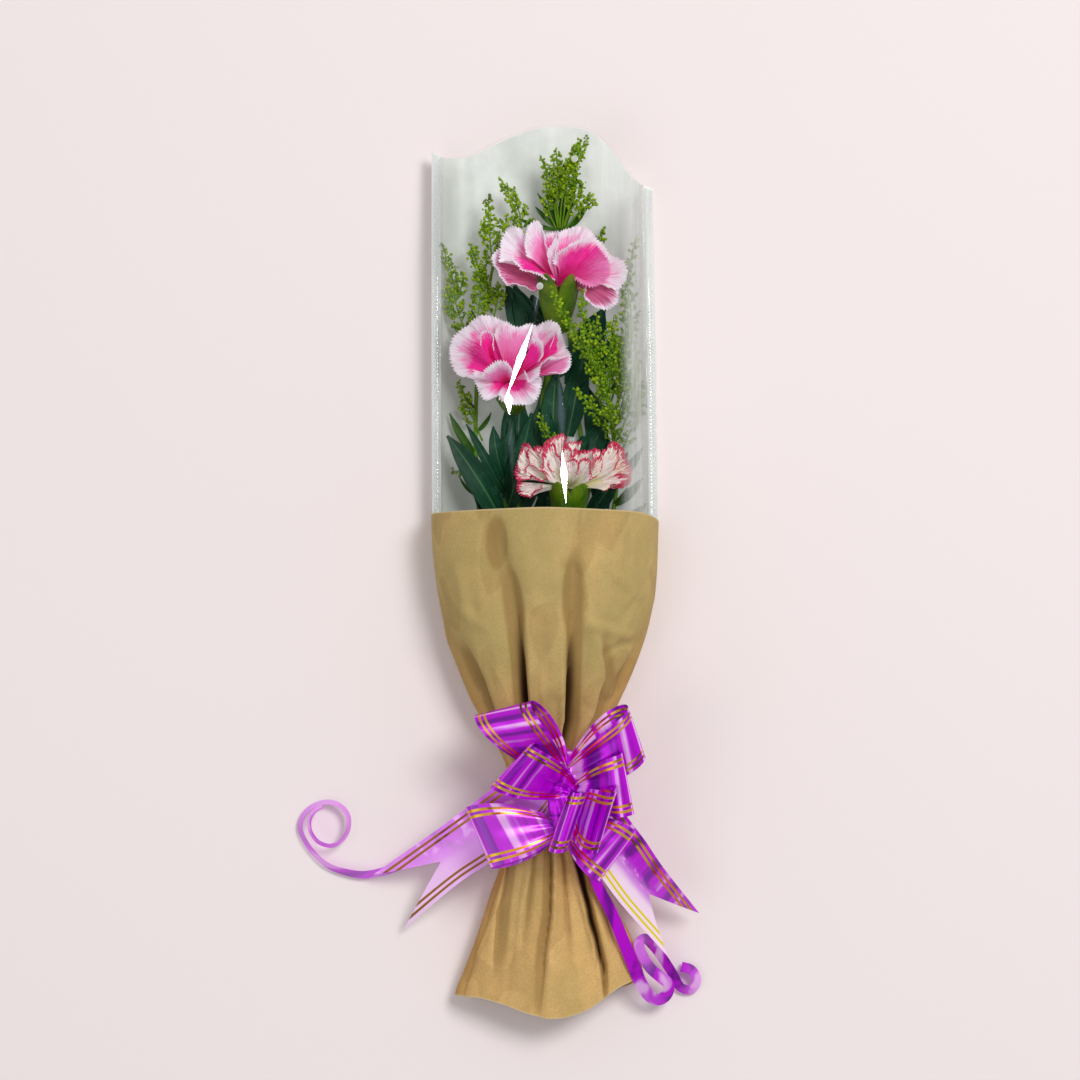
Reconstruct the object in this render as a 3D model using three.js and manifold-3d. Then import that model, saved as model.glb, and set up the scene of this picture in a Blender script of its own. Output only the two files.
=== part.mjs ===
// A gift bunch lying on its back: three carnations and goldenrod in a film and paper sleeve,
// gathered at the neck and tied with a pull bow of gift ribbon.
// Millimetres. +Z is up from the surface it lies on, +Y runs from the cut stems to the blooms,
// and the origin is on that surface, under the middle of the film window.
import * as THREE from 'three';
import { mergeVertices } from 'three/addons/utils/BufferGeometryUtils.js';
import Module from 'manifold-3d';

const wasm = await Module();
wasm.setup();

// Driving dimensions
const sheetThickness = 0.6; // film, paper, ribbon, leaves and petals alike
const seamWidth = 5; // welded strip down each side of the film
const seamGap = 0.9; // between the middles of the two welded films
const filmInset = 1.2; // film front under the paper front
const pinchWidth = 7; // the ribbon where the pull strings gather it
const curlWidth = 7;
const bandWidth = 8;
const fitGap = 0.3; // between pieces that touch
const carnationStem = 2.2; // radius
const goldenrodStem = 1.4; // radius
const plumeRib = 1; // radius
const budSize = 2.8; // radius of a cluster of goldenrod buds
const budWaist = 1.5; // radius between one cluster and the next
const budPitch = 6;
const stalkRadius = 0.6;

// The sleeve's outline and heights, as [y, value] stations from the flared end to the open top
const leftEdge = [[-352, -46.5], [-322, -34.5], [-301, -27.5], [-283, -21], [-257, -17], [-244, -16.2],
  [-234, -17.5], [-218, -25], [-200, -36], [-185, -42.6], [-168, -49.5], [-150, -53.8], [-135, -56.6],
  [-120, -58.5], [-100, -59.4], [-20, -59.6], [100, -59.6]];
const rightEdge = [[-352, 51], [-322, 42], [-301, 32], [-283, 24], [-257, 17.5], [-244, 16.2],
  [-234, 17.5], [-218, 25.5], [-200, 36.4], [-185, 43.7], [-168, 50.5], [-150, 56], [-135, 57.8],
  [-120, 58.6], [-100, 59.3], [-20, 58.4], [100, 56]];
const topHeight = [[-352, 27], [-322, 33], [-301, 36], [-283, 36], [-257, 34.8], [-244, 34.2],
  [-218, 38], [-200, 43], [-168, 52], [-135, 59], [-100, 61.5], [-20, 62], [30, 61], [60, 54], [100, 38]];
const seamHeight = [[-352, 8], [-301, 13], [-257, 17], [-244, 17.5], [-218, 16], [-135, 14.5], [30, 15],
  [100, 11]];
const baseHeight = [[-352, 0.3], [-283, 0.9], [-257, 2.1], [-234, 2.1], [-218, 1], [-200, 0.3], [100, 0.3]];
const roundness = [[-352, 0.1], [-301, 0.35], [-257, 1], [-234, 1], [-200, 0.55], [-168, 0.2], [-130, 0],
  [100, 0]];
const pleatDepth = [[-352, 2.6], [-301, 2.6], [-257, 1.5], [-244, 1.2], [-234, 1.5], [-200, 1.9], [-168, 1.2],
  [-135, 0.4], [-110, 0], [100, 0]];
const pleats = 8;
const frontFullness = 0.85; // 1 is a half ellipse, less is fuller at the shoulders
const backFlat = 0.7; // share of the half width beyond which the back rises to its seam
const neck = -246; // y of the tie

// Film and paper edges: y along the open top, and offsets of the paper's two cut ends
const filmTopEdge = [[-60, 91], [-56, 87], [-48, 86], [-40, 87], [-31, 91], [-20, 96.5], [-8, 101], [4, 103],
  [16, 103], [24, 101], [31, 97], [39, 87.5], [46, 77], [51, 72.5], [60, 69]];
const filmLowEnd = -119;
const backFilmDrop = 4; // the back film's top edge is cut this much lower
const paperTopEdge = [[0, -1], [0.25, 2.8], [0.4, 0.5], [0.5, -5], [0.75, -2], [1, -1]];
const paperLowEdge = [[0, -0.6], [0.12, -1.1], [0.17, -4.7], [0.21, -8.9], [0.25, -12], [0.28, -11],
  [0.32, -7.3], [0.35, -1.6], [0.38, 4.1], [0.42, 7.2], [0.5, 9], [0.75, -5], [1, -0.6]];

const colours = {
  film: 0xeef1ee, frost: 0xe2e6e1, paper: 0xb08a4a, ribbon: 0xa524c4, pink: 0xf06fae, white: 0xf3e6e0,
  calyx: 0x5f8c3a, leaf: 0x2f6a3c, goldenrod: 0x7fa51e,
};

const V = (x, y, z) => new THREE.Vector3(x, y, z);
const { lerp, clamp, smoothstep } = THREE.MathUtils;

// Value at a place on a line through [place, value] stations, places rising.
function along(stations, place) {
  let i = 0;
  while (i < stations.length - 2 && place > stations[i + 1][0]) i += 1;
  const [from, first] = stations[i];
  const [to, last] = stations[i + 1];
  return lerp(first, last, clamp((place - from) / (to - from), 0, 1));
}

// A repeatable stream of numbers from 0 to 1.
function seeded(seed) {
  let state = seed;
  return () => {
    state = (state * 16807) % 2147483647;
    return state / 2147483647;
  };
}

// Solids and meshes
function solidOf(geometry) {
  const bare = geometry.clone();
  bare.deleteAttribute('normal');
  bare.deleteAttribute('uv');
  const merged = mergeVertices(bare, 1e-4);
  return new wasm.Manifold(new wasm.Mesh({
    numProp: 3,
    vertProperties: new Float32Array(merged.getAttribute('position').array),
    triVerts: new Uint32Array(merged.index.array),
  }));
}

function geometryOf(solid) {
  const { vertProperties, triVerts } = solid.getMesh();
  const geometry = new THREE.BufferGeometry();
  geometry.setAttribute('position', new THREE.BufferAttribute(new Float32Array(vertProperties), 3));
  geometry.setIndex(new THREE.BufferAttribute(new Uint32Array(triVerts), 1));
  geometry.computeVertexNormals();
  return geometry;
}

function fuse(geometries) {
  return geometryOf(wasm.Manifold.union(geometries.map(solidOf)).simplify(0.02));
}

function named(name, geometry, color, roughness = 0.6, metalness = 0) {
  const mesh = new THREE.Mesh(geometry, new THREE.MeshStandardMaterial({ color, roughness, metalness }));
  mesh.name = name;
  return mesh;
}

// A sheet from rows of points, zipped row to row. Rows may differ in length, and a ring's rows close.
function sheetSurface(rows, ring = false) {
  const points = rows.flat();
  const faces = [];
  let start = 0;
  for (let r = 0; r < rows.length - 1; r += 1) {
    const here = rows[r].length;
    const next = rows[r + 1].length;
    const a = (i) => start + (i % here);
    const b = (j) => start + here + (j % next);
    const lastA = ring ? here : here - 1;
    const lastB = ring ? next : next - 1;
    let i = 0;
    let j = 0;
    while (i < lastA || j < lastB) {
      if (j === lastB || (i < lastA && (i + 1) * lastB <= (j + 1) * lastA)) {
        faces.push([a(i), a(i + 1), b(j)]);
        i += 1;
      } else {
        faces.push([a(i), b(j + 1), b(j)]);
        j += 1;
      }
    }
    start += here;
  }
  return { points, faces };
}

// Gives a sheet its thickness: the same triangles on both faces, and walls round its free edges.
function thicken({ points, faces }, thickness = sheetThickness) {
  const normals = points.map(() => V(0, 0, 0));
  for (const [a, b, c] of faces) {
    const n = points[b].clone().sub(points[a]).cross(points[c].clone().sub(points[a]));
    for (const k of [a, b, c]) normals[k].add(n);
  }
  const position = [];
  for (const side of [0.5, -0.5]) {
    points.forEach((p, k) => {
      position.push(...p.clone().addScaledVector(normals[k].normalize(), side * thickness).toArray());
    });
  }
  const under = points.length;
  const index = [];
  const edges = new Map();
  for (const [a, b, c] of faces) {
    index.push(a, b, c, a + under, c + under, b + under);
    for (const [p, q] of [[a, b], [b, c], [c, a]]) {
      if (!edges.delete(`${q},${p}`)) edges.set(`${p},${q}`, [p, q]);
    }
  }
  for (const [p, q] of edges.values()) index.push(p, p + under, q + under, p, q + under, q);
  const geometry = new THREE.BufferGeometry();
  geometry.setAttribute('position', new THREE.Float32BufferAttribute(position, 3));
  geometry.setIndex(index);
  return geometry;
}

// A round stem along a smooth line through the points given.
function stemGeometry(points, radius, steps = 12, sides = 5) {
  const section = new THREE.Shape();
  for (let k = 0; k < sides; k += 1) {
    const turn = (k / sides) * Math.PI * 2;
    section[k ? 'lineTo' : 'moveTo'](Math.cos(turn) * radius, Math.sin(turn) * radius);
  }
  const path = new THREE.CatmullRomCurve3(points.map((p) => V(...p)), false, 'centripetal');
  return new THREE.ExtrudeGeometry(section, { steps, bevelEnabled: false, extrudePath: path });
}

// A solid of revolution about Z, through [radius, z] points that start and end on the axis.
function lathed(profile, sides) {
  const points = profile.map(([r, z]) => new THREE.Vector2(r, z));
  return new THREE.LatheGeometry(points, sides).rotateX(Math.PI / 2);
}

// Sleeve
// The way out of the sleeve at a turn: 0 at the left seam, over the front to 0.5 at the right seam,
// and back under.
function outward(turn) {
  const angle = turn * Math.PI * 2;
  return V(-Math.cos(angle), 0, Math.sin(angle));
}

// A point of the sleeve's section, without its pleats.
function sectionPoint(y, turn, inset = 0, drop = 0) {
  const left = along(leftEdge, y) + inset;
  const right = along(rightEdge, y) - inset;
  const middle = (left + right) / 2;
  const half = (right - left) / 2;
  const top = along(topHeight, y) - sheetThickness / 2 - drop;
  const base = along(baseHeight, y) + drop;
  const seam = along(seamHeight, y);
  const angle = turn * Math.PI * 2;
  const rise = Math.abs(Math.sin(angle));
  const front = Math.sin(angle) >= 0;
  const height = front
    ? lerp(seam, top, rise ** frontFullness)
    : lerp(base, seam, Math.max(0, 1 - rise / backFlat) ** 1.5);
  const pillow = V(middle - half * Math.cos(angle), y, height);
  const tall = (top - base) / 2;
  const round = V(middle - half * Math.cos(angle), y, base + tall + tall * Math.sin(angle));
  return pillow.lerp(round, along(roundness, y));
}

function pleatedPoint(y, turn) {
  const angle = turn * Math.PI * 2;
  const fold = Math.cos(pleats * angle + 0.9 * Math.sin(2 * angle) + 0.4);
  const point = sectionPoint(y, turn).addScaledVector(outward(turn), along(pleatDepth, y) * fold);
  point.z = Math.max(point.z, along(baseHeight, y));
  return point;
}

function paperWrap() {
  const columns = 40;
  const stations = [-100, -125, -150, -170, -190, -208, -226, -246, -262, -280, -302, -326, -352];
  const rows = stations.map((station) => {
    const topPull = smoothstep(station, -150, -100);
    const lowPull = 1 - smoothstep(station, -352, -296);
    return Array.from({ length: columns }, (_, c) => {
      const turn = c / columns;
      const point = pleatedPoint(station, turn);
      point.y += along(paperTopEdge, turn) * topPull + along(paperLowEdge, turn) * lowPull;
      return point;
    });
  });
  return named('paper_wrap', thicken(sheetSurface(rows, true)), colours.paper, 0.85);
}

// One film of the window, from its place under the paper to the cut top edge, with its half of both seams.
function film(name, front, color) {
  const columns = front ? 14 : 12;
  const stations = [0, 0.1, 0.2, 0.5, 0.7, 0.86, 1];
  const rows = stations.map((share) => Array.from({ length: columns + 3 }, (_, c) => {
    const step = clamp(c - 1, 0, columns) / columns;
    const turn = front ? step / 2 : 1 - step / 2;
    const flange = (seamWidth - sheetThickness) * (c === 0 ? -1 : Number(c === columns + 2));
    const x = sectionPoint(0, turn, seamWidth).x + flange;
    const topY = along(filmTopEdge, x) - (front ? 0 : backFilmDrop);
    const y = lerp(filmLowEnd, topY, share);
    const tucked = 1 - smoothstep(y, -96, -76);
    const point = sectionPoint(y, turn, seamWidth, front ? filmInset : tucked);
    if (step === 0 || step === 1) point.z = along(seamHeight, y) + (front ? seamGap : -seamGap) / 2;
    point.x += flange;
    return point;
  }));
  return named(name, thicken(sheetSurface(front ? rows.reverse() : rows)), color, 0.15);
}

// Carnations
// A petal is given as [turn, rise, out]: degrees round the bloom's axis from its right-hand side, and how
// high and how far out its rim ends, as shares of the bloom's height and reach. These two close the middle.
const heartPetals = [[70, 1, 0.38], [245, 1, 0.38]];
const calyxSides = 10;
const coreSides = 8;
// Claw, shoulder and rim: half width as a share of the petal's width, and share of its wave
const petalRows = [
  { half: 0.09, waved: 0 },
  { half: 0.34, waved: 0.45 },
  { half: 0.5, waved: 1 },
];
const toothDepth = 1;
const rimFall = 0.2; // how far the rim's corners fall back, as a share of the bloom's reach
const rearLift = 0.5; // how far the petals behind are pushed up, as a share of their way back

// A narrow claw opens into a broad limb with a toothed, waved rim. The bloom is pressed front and back,
// the petals behind are pushed up, and those at the right may sag.
function petal([turn, rise, out], bloom, random) {
  const size = 0.97 + random() * 0.05;
  const wave = 2 + random() * 1.2;
  const phase = random() * Math.PI * 2;
  const width = (0.5 + 0.55 * out) * bloom.reach;
  const claw = [0.13, 0.03 + 0.16 * rise];
  const shoulder = [0.5 * out, 0.26 + 0.5 * rise];
  const places = [claw, shoulder, [out, rise]]
    .map(([far, high]) => V(far * bloom.reach * size, 0, high * bloom.height * size));
  const limb = places[2].clone().sub(places[1]).normalize();
  const up = V(-limb.z, 0, limb.x);
  const segments = out > 0.8 ? [1, 3, 8] : [1, 2, 6];
  const rows = segments.map((count, row) => Array.from({ length: count + 1 }, (_, k) => {
    const across = (k / count) * 2 - 1;
    const { half, waved } = petalRows[row];
    const tooth = k % 2 ? toothDepth : -toothDepth;
    const at = places[row].clone();
    at.y = across * half * width;
    if (row === 2) at.addScaledVector(limb, tooth - rimFall * bloom.reach * across ** 2);
    at.addScaledVector(up, waved * (wave * Math.sin(across * 4.6 + phase) + 2 * across + 3 * across ** 2));
    at.applyAxisAngle(V(0, 0, 1), THREE.MathUtils.degToRad(turn));
    at.y *= at.y > 0 ? bloom.back : bloom.front;
    at.z += Math.max(0, at.y) * rearLift - Math.max(0, at.x) * bloom.sag;
    return at;
  }));
  return thicken(sheetSurface(rows));
}

function bloomGeometry(bloom) {
  const random = seeded(bloom.seed);
  const { height } = bloom;
  const profile = [[0, -6], [7, -6], [7.2, 0], [5.8, 0.16 * height], [0, 0.32 * height]];
  const petals = [...bloom.petals, ...heartPetals].map((one) => petal(one, bloom, random));
  return fuse([lathed(profile, coreSides), ...petals]);
}

// The calyx: a broad cup with five pointed lobes round the petals' claws, narrowing to the stem.
function calyxGeometry(length) {
  const cup = lathed([[0, -length], [2.4, -length], [5.6, -length + 6], [8.2, -9], [9.3, 0], [8.4, 0.1],
    [7.6, -6.4], [0, -6.4]], calyxSides);
  const place = cup.getAttribute('position');
  for (let k = 0; k < place.count; k += 1) {
    const rim = smoothstep(place.getZ(k), -5, 0);
    const lobe = Math.cos(5 * Math.atan2(place.getY(k), place.getX(k)));
    place.setZ(k, place.getZ(k) + rim * 4 * (lobe - 0.35));
  }
  return cup;
}

// A lance-shaped leaf folded along its rib, through a base, a middle and a tip.
const leafFold = 0.5; // rise of its edges, as a share of half its width

function leaf({ path, width }) {
  const line = new THREE.QuadraticBezierCurve3(...path.map((p) => V(...p)));
  const shares = [0, 0.25, 0.52, 0.8, 1];
  const widths = [0.45, 0.9, 1, 0.62, 0.1];
  return thicken(sheetSurface(shares.map((share, row) => {
    const middle = line.getPoint(share);
    const side = V(0, 0, 1).cross(line.getTangent(share)).normalize();
    const half = widths[row] * width / 2;
    return [-1, 0, 1].map((edge) => middle.clone()
      .addScaledVector(side, -edge * half)
      .add(V(0, 0, Math.abs(edge) * half * leafFold)));
  })));
}

const carnations = {
  top: {
    mouth: [7, 18, 29], axis: [0.03, 0.93, 0.36],
    reach: 34.5, height: 32, front: 0.62, back: 0.42, sag: 0.2, seed: 11,
    petals: [[182, 0.3, 1], [212, 0.05, 0.86], [142, 0.55, 1], [96, 0.68, 0.85], [52, 0.6, 1],
      [8, 0.35, 1.03], [-32, -0.22, 0.88], [-20, 0.2, 0.95], [-70, 0.38, 0.6], [238, 0.36, 0.62],
      [150, 0.85, 0.6], [30, 0.85, 0.62], [200, 0.62, 0.7]],
    colour: colours.pink, calyx: 26,
    stem: [[4, -16, 12], [-1, -40, 7], [-13, -75, 8], [-14, -110, 10], [-8, -160, 14], [-5, -205, 15],
      [-2, -244, 15.5], [-4, -270, 14], [-6, -305, 13]],
    leaves: [
      { path: [[1, -24, 9], [-6, -6, 6.5], [-16, 19, 8]], width: 16 },
      { path: [[1, -30, 8], [14, -22, 8], [24, -2, 8]], width: 9 },
      { path: [[-14, -104, 9], [-6, -78, 9], [-1, -50, 9]], width: 13 },
      { path: [[-13, -92, 9], [4, -80, 7], [12, -51, 7.2]], width: 9 },
    ],
  },
  left: {
    mouth: [-17.5, -31.5, 22], axis: [-0.05, 0.68, 0.73],
    reach: 30.5, height: 33, front: 0.7, back: 0.74, sag: 0, seed: 23,
    petals: [[178, 0.1, 1.04], [140, 0.3, 1.04], [212, 0.1, 0.88], [262, -0.08, 0.92], [305, 0.15, 0.8],
      [2, 0.12, 0.97], [38, 0.35, 1], [78, 0.45, 0.9], [110, 0.5, 0.95], [165, 0.62, 0.6], [20, 0.62, 0.6],
      [262, 0.55, 0.42]],
    colour: colours.pink, calyx: 24,
    stem: [[-18, -60, 9], [-21, -78, 10], [-22, -100, 13], [-15, -160, 20], [-9, -205, 22],
      [-2.9, -244, 19.7], [-6.5, -270, 22], [-10, -305, 23]],
    leaves: [
      { path: [[-22, -106, 14], [-32, -84, 28], [-51, -60, 21]], width: 11 },
      { path: [[-21, -90, 13], [-30, -74, 30], [-41, -54, 24]], width: 5 },
      { path: [[-21, -98, 13], [-36, -86, 16], [-47, -66, 17]], width: 5.5 },
      { path: [[-21, -84, 11], [-26, -70, 22], [-27, -55, 15]], width: 8 },
    ],
  },
  right: {
    mouth: [13, -87, 30], axis: [0.06, 0.96, 0.24],
    reach: 31, height: 26, front: 0.62, back: 0.45, sag: 0, seed: 37,
    petals: [[182, 0.3, 1], [205, -0.1, 0.9], [150, 0.6, 0.95], [112, 0.85, 0.75], [68, 0.85, 0.75],
      [28, 0.6, 0.95], [-2, 0.3, 1.03], [-22, -0.02, 0.92], [226, 0.5, 0.8], [256, 0.78, 0.5],
      [292, 0.78, 0.5], [322, 0.5, 0.8], [190, 0.7, 0.7], [-10, 0.7, 0.7]],
    colour: colours.white, calyx: 25,
    stem: [[11, -134, 21], [6, -180, 21], [3.4, -215, 22], [1.4, -244, 18.9], [3, -270, 22], [4, -302, 24]],
    leaves: [
      { path: [[12, -128, 21], [32, -116, 42], [45, -102, 34]], width: 6 },
    ],
  },
};

function carnation(name, spec) {
  const mouth = V(...spec.mouth);
  const axis = V(...spec.axis).normalize();
  const side = axis.clone().cross(V(0, 0, 1)).normalize();
  const frame = new THREE.Matrix4().makeBasis(side, axis.clone().cross(side), axis).setPosition(mouth);
  const group = new THREE.Group();

  const bloom = named(`bloom_${name}`, bloomGeometry(spec), spec.colour);
  bloom.applyMatrix4(frame);
  const calyxEnd = mouth.clone().addScaledVector(axis, -spec.calyx + 3);
  const stem = stemGeometry([calyxEnd.toArray(), ...spec.stem], carnationStem, 14, 5);
  const green = fuse([calyxGeometry(spec.calyx).applyMatrix4(frame), stem, ...spec.leaves.map(leaf)]);
  group.add(bloom, named(`carnation_stem_${name}`, green, colours.calyx));
  return group;
}

// Goldenrod
// A row of buds along a curve, three-sided, after a bare stalk that takes the first part of it.
function budStrand(line, stalk) {
  const buds = Math.max(2, Math.round((line.getLength() * (1 - stalk)) / budPitch));
  const profile = [[0, 0], [0.3, 0.01]];
  for (let k = 0; k < buds; k += 1) {
    profile.push([k ? budWaist : stalkRadius, lerp(stalk, 1, k / buds)]);
    profile.push([budSize, lerp(stalk, 1, (k + 0.55) / buds)]);
  }
  const strand = lathed([...profile, [0, 1]], 3);
  const place = strand.getAttribute('position');
  for (let k = 0; k < place.count; k += 1) {
    const share = clamp(place.getZ(k), 0, 1);
    const tangent = line.getTangentAt(share);
    const side = tangent.clone().cross(V(0, 0, 1)).normalize();
    const bud = Math.max(0, (share - stalk) / (1 - stalk)) * buds;
    const zigzag = Math.sin(bud * Math.PI) * budSize * 0.5;
    const point = line.getPointAt(share)
      .addScaledVector(side, place.getX(k) + zigzag)
      .addScaledVector(tangent.cross(side), place.getY(k));
    place.setXYZ(k, point.x, point.y, point.z);
  }
  return strand;
}

// A plume: a thin rib that ends in a row of buds, with shorter rows to both sides, longest low down.
function plume({ path, shoots, reach = 11, start = 0.3 }, random) {
  const line = new THREE.CatmullRomCurve3(path.map((p) => V(...p)), false, 'centripetal');
  const ribEnd = 0.82;
  const rib = Array.from({ length: 6 }, (_, k) => line.getPointAt((k / 5) * ribEnd).toArray());
  const crownPoints = [ribEnd - 0.04, 0.91, 1].map((share) => line.getPointAt(share));
  const crown = new THREE.QuadraticBezierCurve3(...crownPoints);
  const parts = [stemGeometry(rib, plumeRib, 6, 3), budStrand(crown, 0.05)];
  for (let k = 0; k < shoots; k += 1) {
    const share = lerp(start, ribEnd - 0.04, (k + 0.5) / shoots);
    const at = line.getPointAt(share);
    const tangent = line.getTangentAt(share);
    const outward = tangent.clone().cross(V(0, 0, 1)).normalize().multiplyScalar(k % 2 ? 1 : -1);
    const length = reach * lerp(1, 0.6, k / shoots) * (0.9 + random() * 0.25);
    const lift = (random() - 0.4) * 0.4 * length;
    const bend = at.clone().addScaledVector(tangent, length * 0.3).addScaledVector(outward, length * 0.45);
    const tip = at.clone().addScaledVector(tangent, length * 0.75).addScaledVector(outward, length * 0.65)
      .add(V(0, 0, lift));
    parts.push(budStrand(new THREE.QuadraticBezierCurve3(at, bend, tip), 0.2));
  }
  return parts;
}

const goldenrods = {
  middle: {
    seed: 5,
    stem: [[20, -75, 5], [16, -110, 6.5], [8, -160, 10], [3, -205, 11], [-0.4, -244, 12.1], [0.5, -270, 10],
      [2, -300, 9]],
    rise: [[11, 52, 9], [10, 38, 4.5], [10, 20, 4], [12, 0, 4.2], [16, -40, 5.2], [20, -75, 5]],
    plumes: [
      { path: [[11, 50, 8], [12, 64, 17], [15.6, 80, 24], [18.7, 93, 26]], shoots: 7, reach: 14,
        start: 0.05 },
      { path: [[11, 51, 8], [6, 64, 14], [3, 77, 19]], shoots: 3, start: 0.2 },
      { path: [[11, 51, 8], [20, 57, 12], [26, 62, 15]], shoots: 3, start: 0.3 },
      { path: [[10, 38, 4.5], [20, 45, 5], [31, 49, 9]], shoots: 1, start: 0.75 },
      { path: [[17, -48, 5.1], [7, -56, 14], [-1, -50, 21]], shoots: 2, start: 0.6 },
    ],
    leaves: [
      { path: [[11, 51, 8], [4, 54, 8], [-4, 63, 11]], width: 4 },
      { path: [[11, 50, 8], [8, 58, 7], [2, 71, 11]], width: 4 },
    ],
  },
  left: {
    seed: 9,
    stem: [[-36, -75, 7], [-33, -110, 8], [-22, -160, 11], [-13, -205, 14], [-5.6, -244, 16.4],
      [-9, -270, 14], [-13, -300, 11]],
    rise: [[-27, 30, 13], [-30, 14, 9], [-34, -5, 6], [-36, -40, 6], [-36, -75, 7]],
    plumes: [
      { path: [[-27, 30, 13], [-28.5, 46, 17], [-29, 66, 20]], shoots: 5, start: 0.1 },
      { path: [[-27, 30, 13], [-14, 55, 15], [-24, 74, 20]], shoots: 4, start: 0.45 },
      { path: [[-31, 8, 8], [-34, 22, 14], [-36.4, 41, 19]], shoots: 4, start: 0.3 },
      { path: [[-35, -12, 6], [-43, 4, 11], [-45.4, 22, 16.8], [-49.2, 39, 16.6]], shoots: 5, reach: 9,
        start: 0.3 },
      { path: [[-36, -64, 7], [-42, -48, 12], [-45, -36, 14]], shoots: 3, reach: 8, start: 0.4 },
    ],
    leaves: [
      { path: [[-36, -70, 7], [-44, -62, 6], [-50, -48, 10]], width: 4.5 },
    ],
  },
  right: {
    seed: 14,
    stem: [[38, -75, 8], [34, -110, 10], [22, -160, 13], [11, -205, 15], [1.8, -244, 15.2], [7, -270, 14],
      [11, -300, 13]],
    rise: [[30, -22, 24], [33, -40, 14], [38, -75, 8]],
    plumes: [
      { path: [[30, -24, 23], [35, -12, 30], [38, 4, 34]], shoots: 4, start: 0.1 },
      { path: [[32, -38, 15], [25, -22, 38], [12, 12, 50]], shoots: 4, start: 0.4 },
      { path: [[33, -44, 13], [24, -42, 30], [20, -10, 40]], shoots: 4, start: 0.35 },
      { path: [[34, -46, 12], [45, -38, 16], [47, -12, 21.6]], shoots: 4, reach: 9, start: 0.25 },
      { path: [[38, -70, 8], [46, -30, 10], [44, 10, 12], [47, 43, 18]], shoots: 5, reach: 9, start: 0.45 },
    ],
    leaves: [
      { path: [[36, -96, 9], [44, -92, 16], [51, -82, 18]], width: 5 },
      { path: [[37, -84, 8.5], [46, -76, 14], [51, -66, 16]], width: 4.5 },
      { path: [[35, -104, 9.5], [46, -104, 14], [53, -95, 16]], width: 4.5 },
    ],
  },
};

function goldenrod(name, spec) {
  const random = seeded(spec.seed);
  const parts = [
    stemGeometry([...spec.rise, ...spec.stem.slice(1)], goldenrodStem, 16, 4),
    ...spec.plumes.flatMap((one) => plume(one, random)),
    ...spec.leaves.map(leaf),
  ];
  return named(`goldenrod_${name}`, fuse(parts), colours.goldenrod);
}

// Bow
// One loop of ribbon: out from the gathered knot to the bend between two corners, and back behind.
// open is the way from the back layer to the front one, half as long as they stand apart.
function ribbonLoop({ knot, corners, open }) {
  const centre = V(...knot);
  const [first, second] = corners.map((p) => V(...p));
  const across = second.clone().sub(first);
  const gather = across.clone().setLength(pinchWidth);
  const bend = first.clone().lerp(second, 0.5);
  const apart = V(...open);
  const rows = Array.from({ length: 9 }, (_, r) => {
    const turn = (r / 8) * Math.PI * 2;
    const out = ((1 - Math.cos(turn)) / 2) ** 0.8;
    const bulge = Math.sin(turn) * Math.sin(turn / 2) ** 0.6;
    const middle = centre.clone().lerp(bend, out).addScaledVector(apart, bulge);
    const width = gather.clone().lerp(across, 1 - (1 - out) ** 2.4);
    return [-0.5, 0, 0.5].map((share) => middle.clone().addScaledVector(width, share));
  });
  rows[0] = rows[0].map((p) => p.addScaledVector(apart, 0.08));
  rows[8] = rows[8].map((p) => p.addScaledVector(apart, -0.08));
  return thicken(sheetSurface(rows));
}

const loops = [
  { knot: [9, -236, 47], corners: [[-36, -205, 54], [-7.3, -197.5, 60]], open: [-2.5, -3, 8] },
  { knot: [11, -236, 47], corners: [[42.6, -204, 60], [51, -233, 55]], open: [1.5, -4, 8] },
  { knot: [15, -244, 49], corners: [[-7.3, -219, 66], [-28, -241.5, 60]], open: [0, -1.5, 7] },
  { knot: [16, -244, 49], corners: [[39.5, -223.6, 64], [45.8, -255, 60]], open: [0, -1.5, 7] },
  { knot: [7, -262, 46], corners: [[-41, -252.7, 50], [-28, -284, 48]], open: [0, 1.5, 6] },
  { knot: [12, -262, 46], corners: [[46.8, -265, 52], [28, -291, 50]], open: [0, 1.5, 6] },
  { knot: [13, -256, 50], corners: [[17.2, -244, 75], [6.2, -275, 71]], open: [5.5, 0, 1] },
  { knot: [16, -251, 49], corners: [[35.4, -244, 72], [25.5, -275.6, 69]], open: [4.5, 1, 3] },
];

// Tails: pairs of edge points from the knot out to the two tips, and the notch between the tips.
const tails = [
  {
    edges: [
      [[5, -234, 43], [9, -240, 43]],
      [[-18, -238, 39.5], [-3, -262, 40.5]],
      [[-43, -255.5, 33], [-25, -279.5, 33]],
      [[-60, -268, 25], [-44, -292.5, 25]],
      [[-90, -289.6, 9], [-73.8, -318.2, 7]],
    ],
    notch: [-56.2, -279.8, 23],
  },
  {
    edges: [
      [[4, -241, 43], [10, -236, 43]],
      [[11, -265, 40.5], [33, -248, 40.5]],
      [[28.1, -288, 36.4], [49.4, -267, 35]],
      [[39, -303, 30], [61, -284, 30]],
      [[64, -331.8, 16], [80.6, -309.4, 14]],
    ],
    notch: [54, -296.4, 28],
  },
];

function ribbonTail({ edges, notch }) {
  const rows = edges.map((pair, row) => {
    const [first, last] = pair.map((p) => V(...p));
    const middle = row === edges.length - 1 ? V(...notch) : first.clone().lerp(last, 0.5);
    return [first, middle, last];
  });
  return thicken(sheetSurface(rows));
}

function bow() {
  const knot = new THREE.SphereGeometry(1, 10, 6).scale(9, 24, 8).translate(10, neck, 44);
  const ribbon = fuse([knot, ...loops.map(ribbonLoop), ...tails.map(ribbonTail)]);
  return named('bow_ribbon', ribbon, colours.ribbon, 0.25, 0.1);
}

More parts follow.
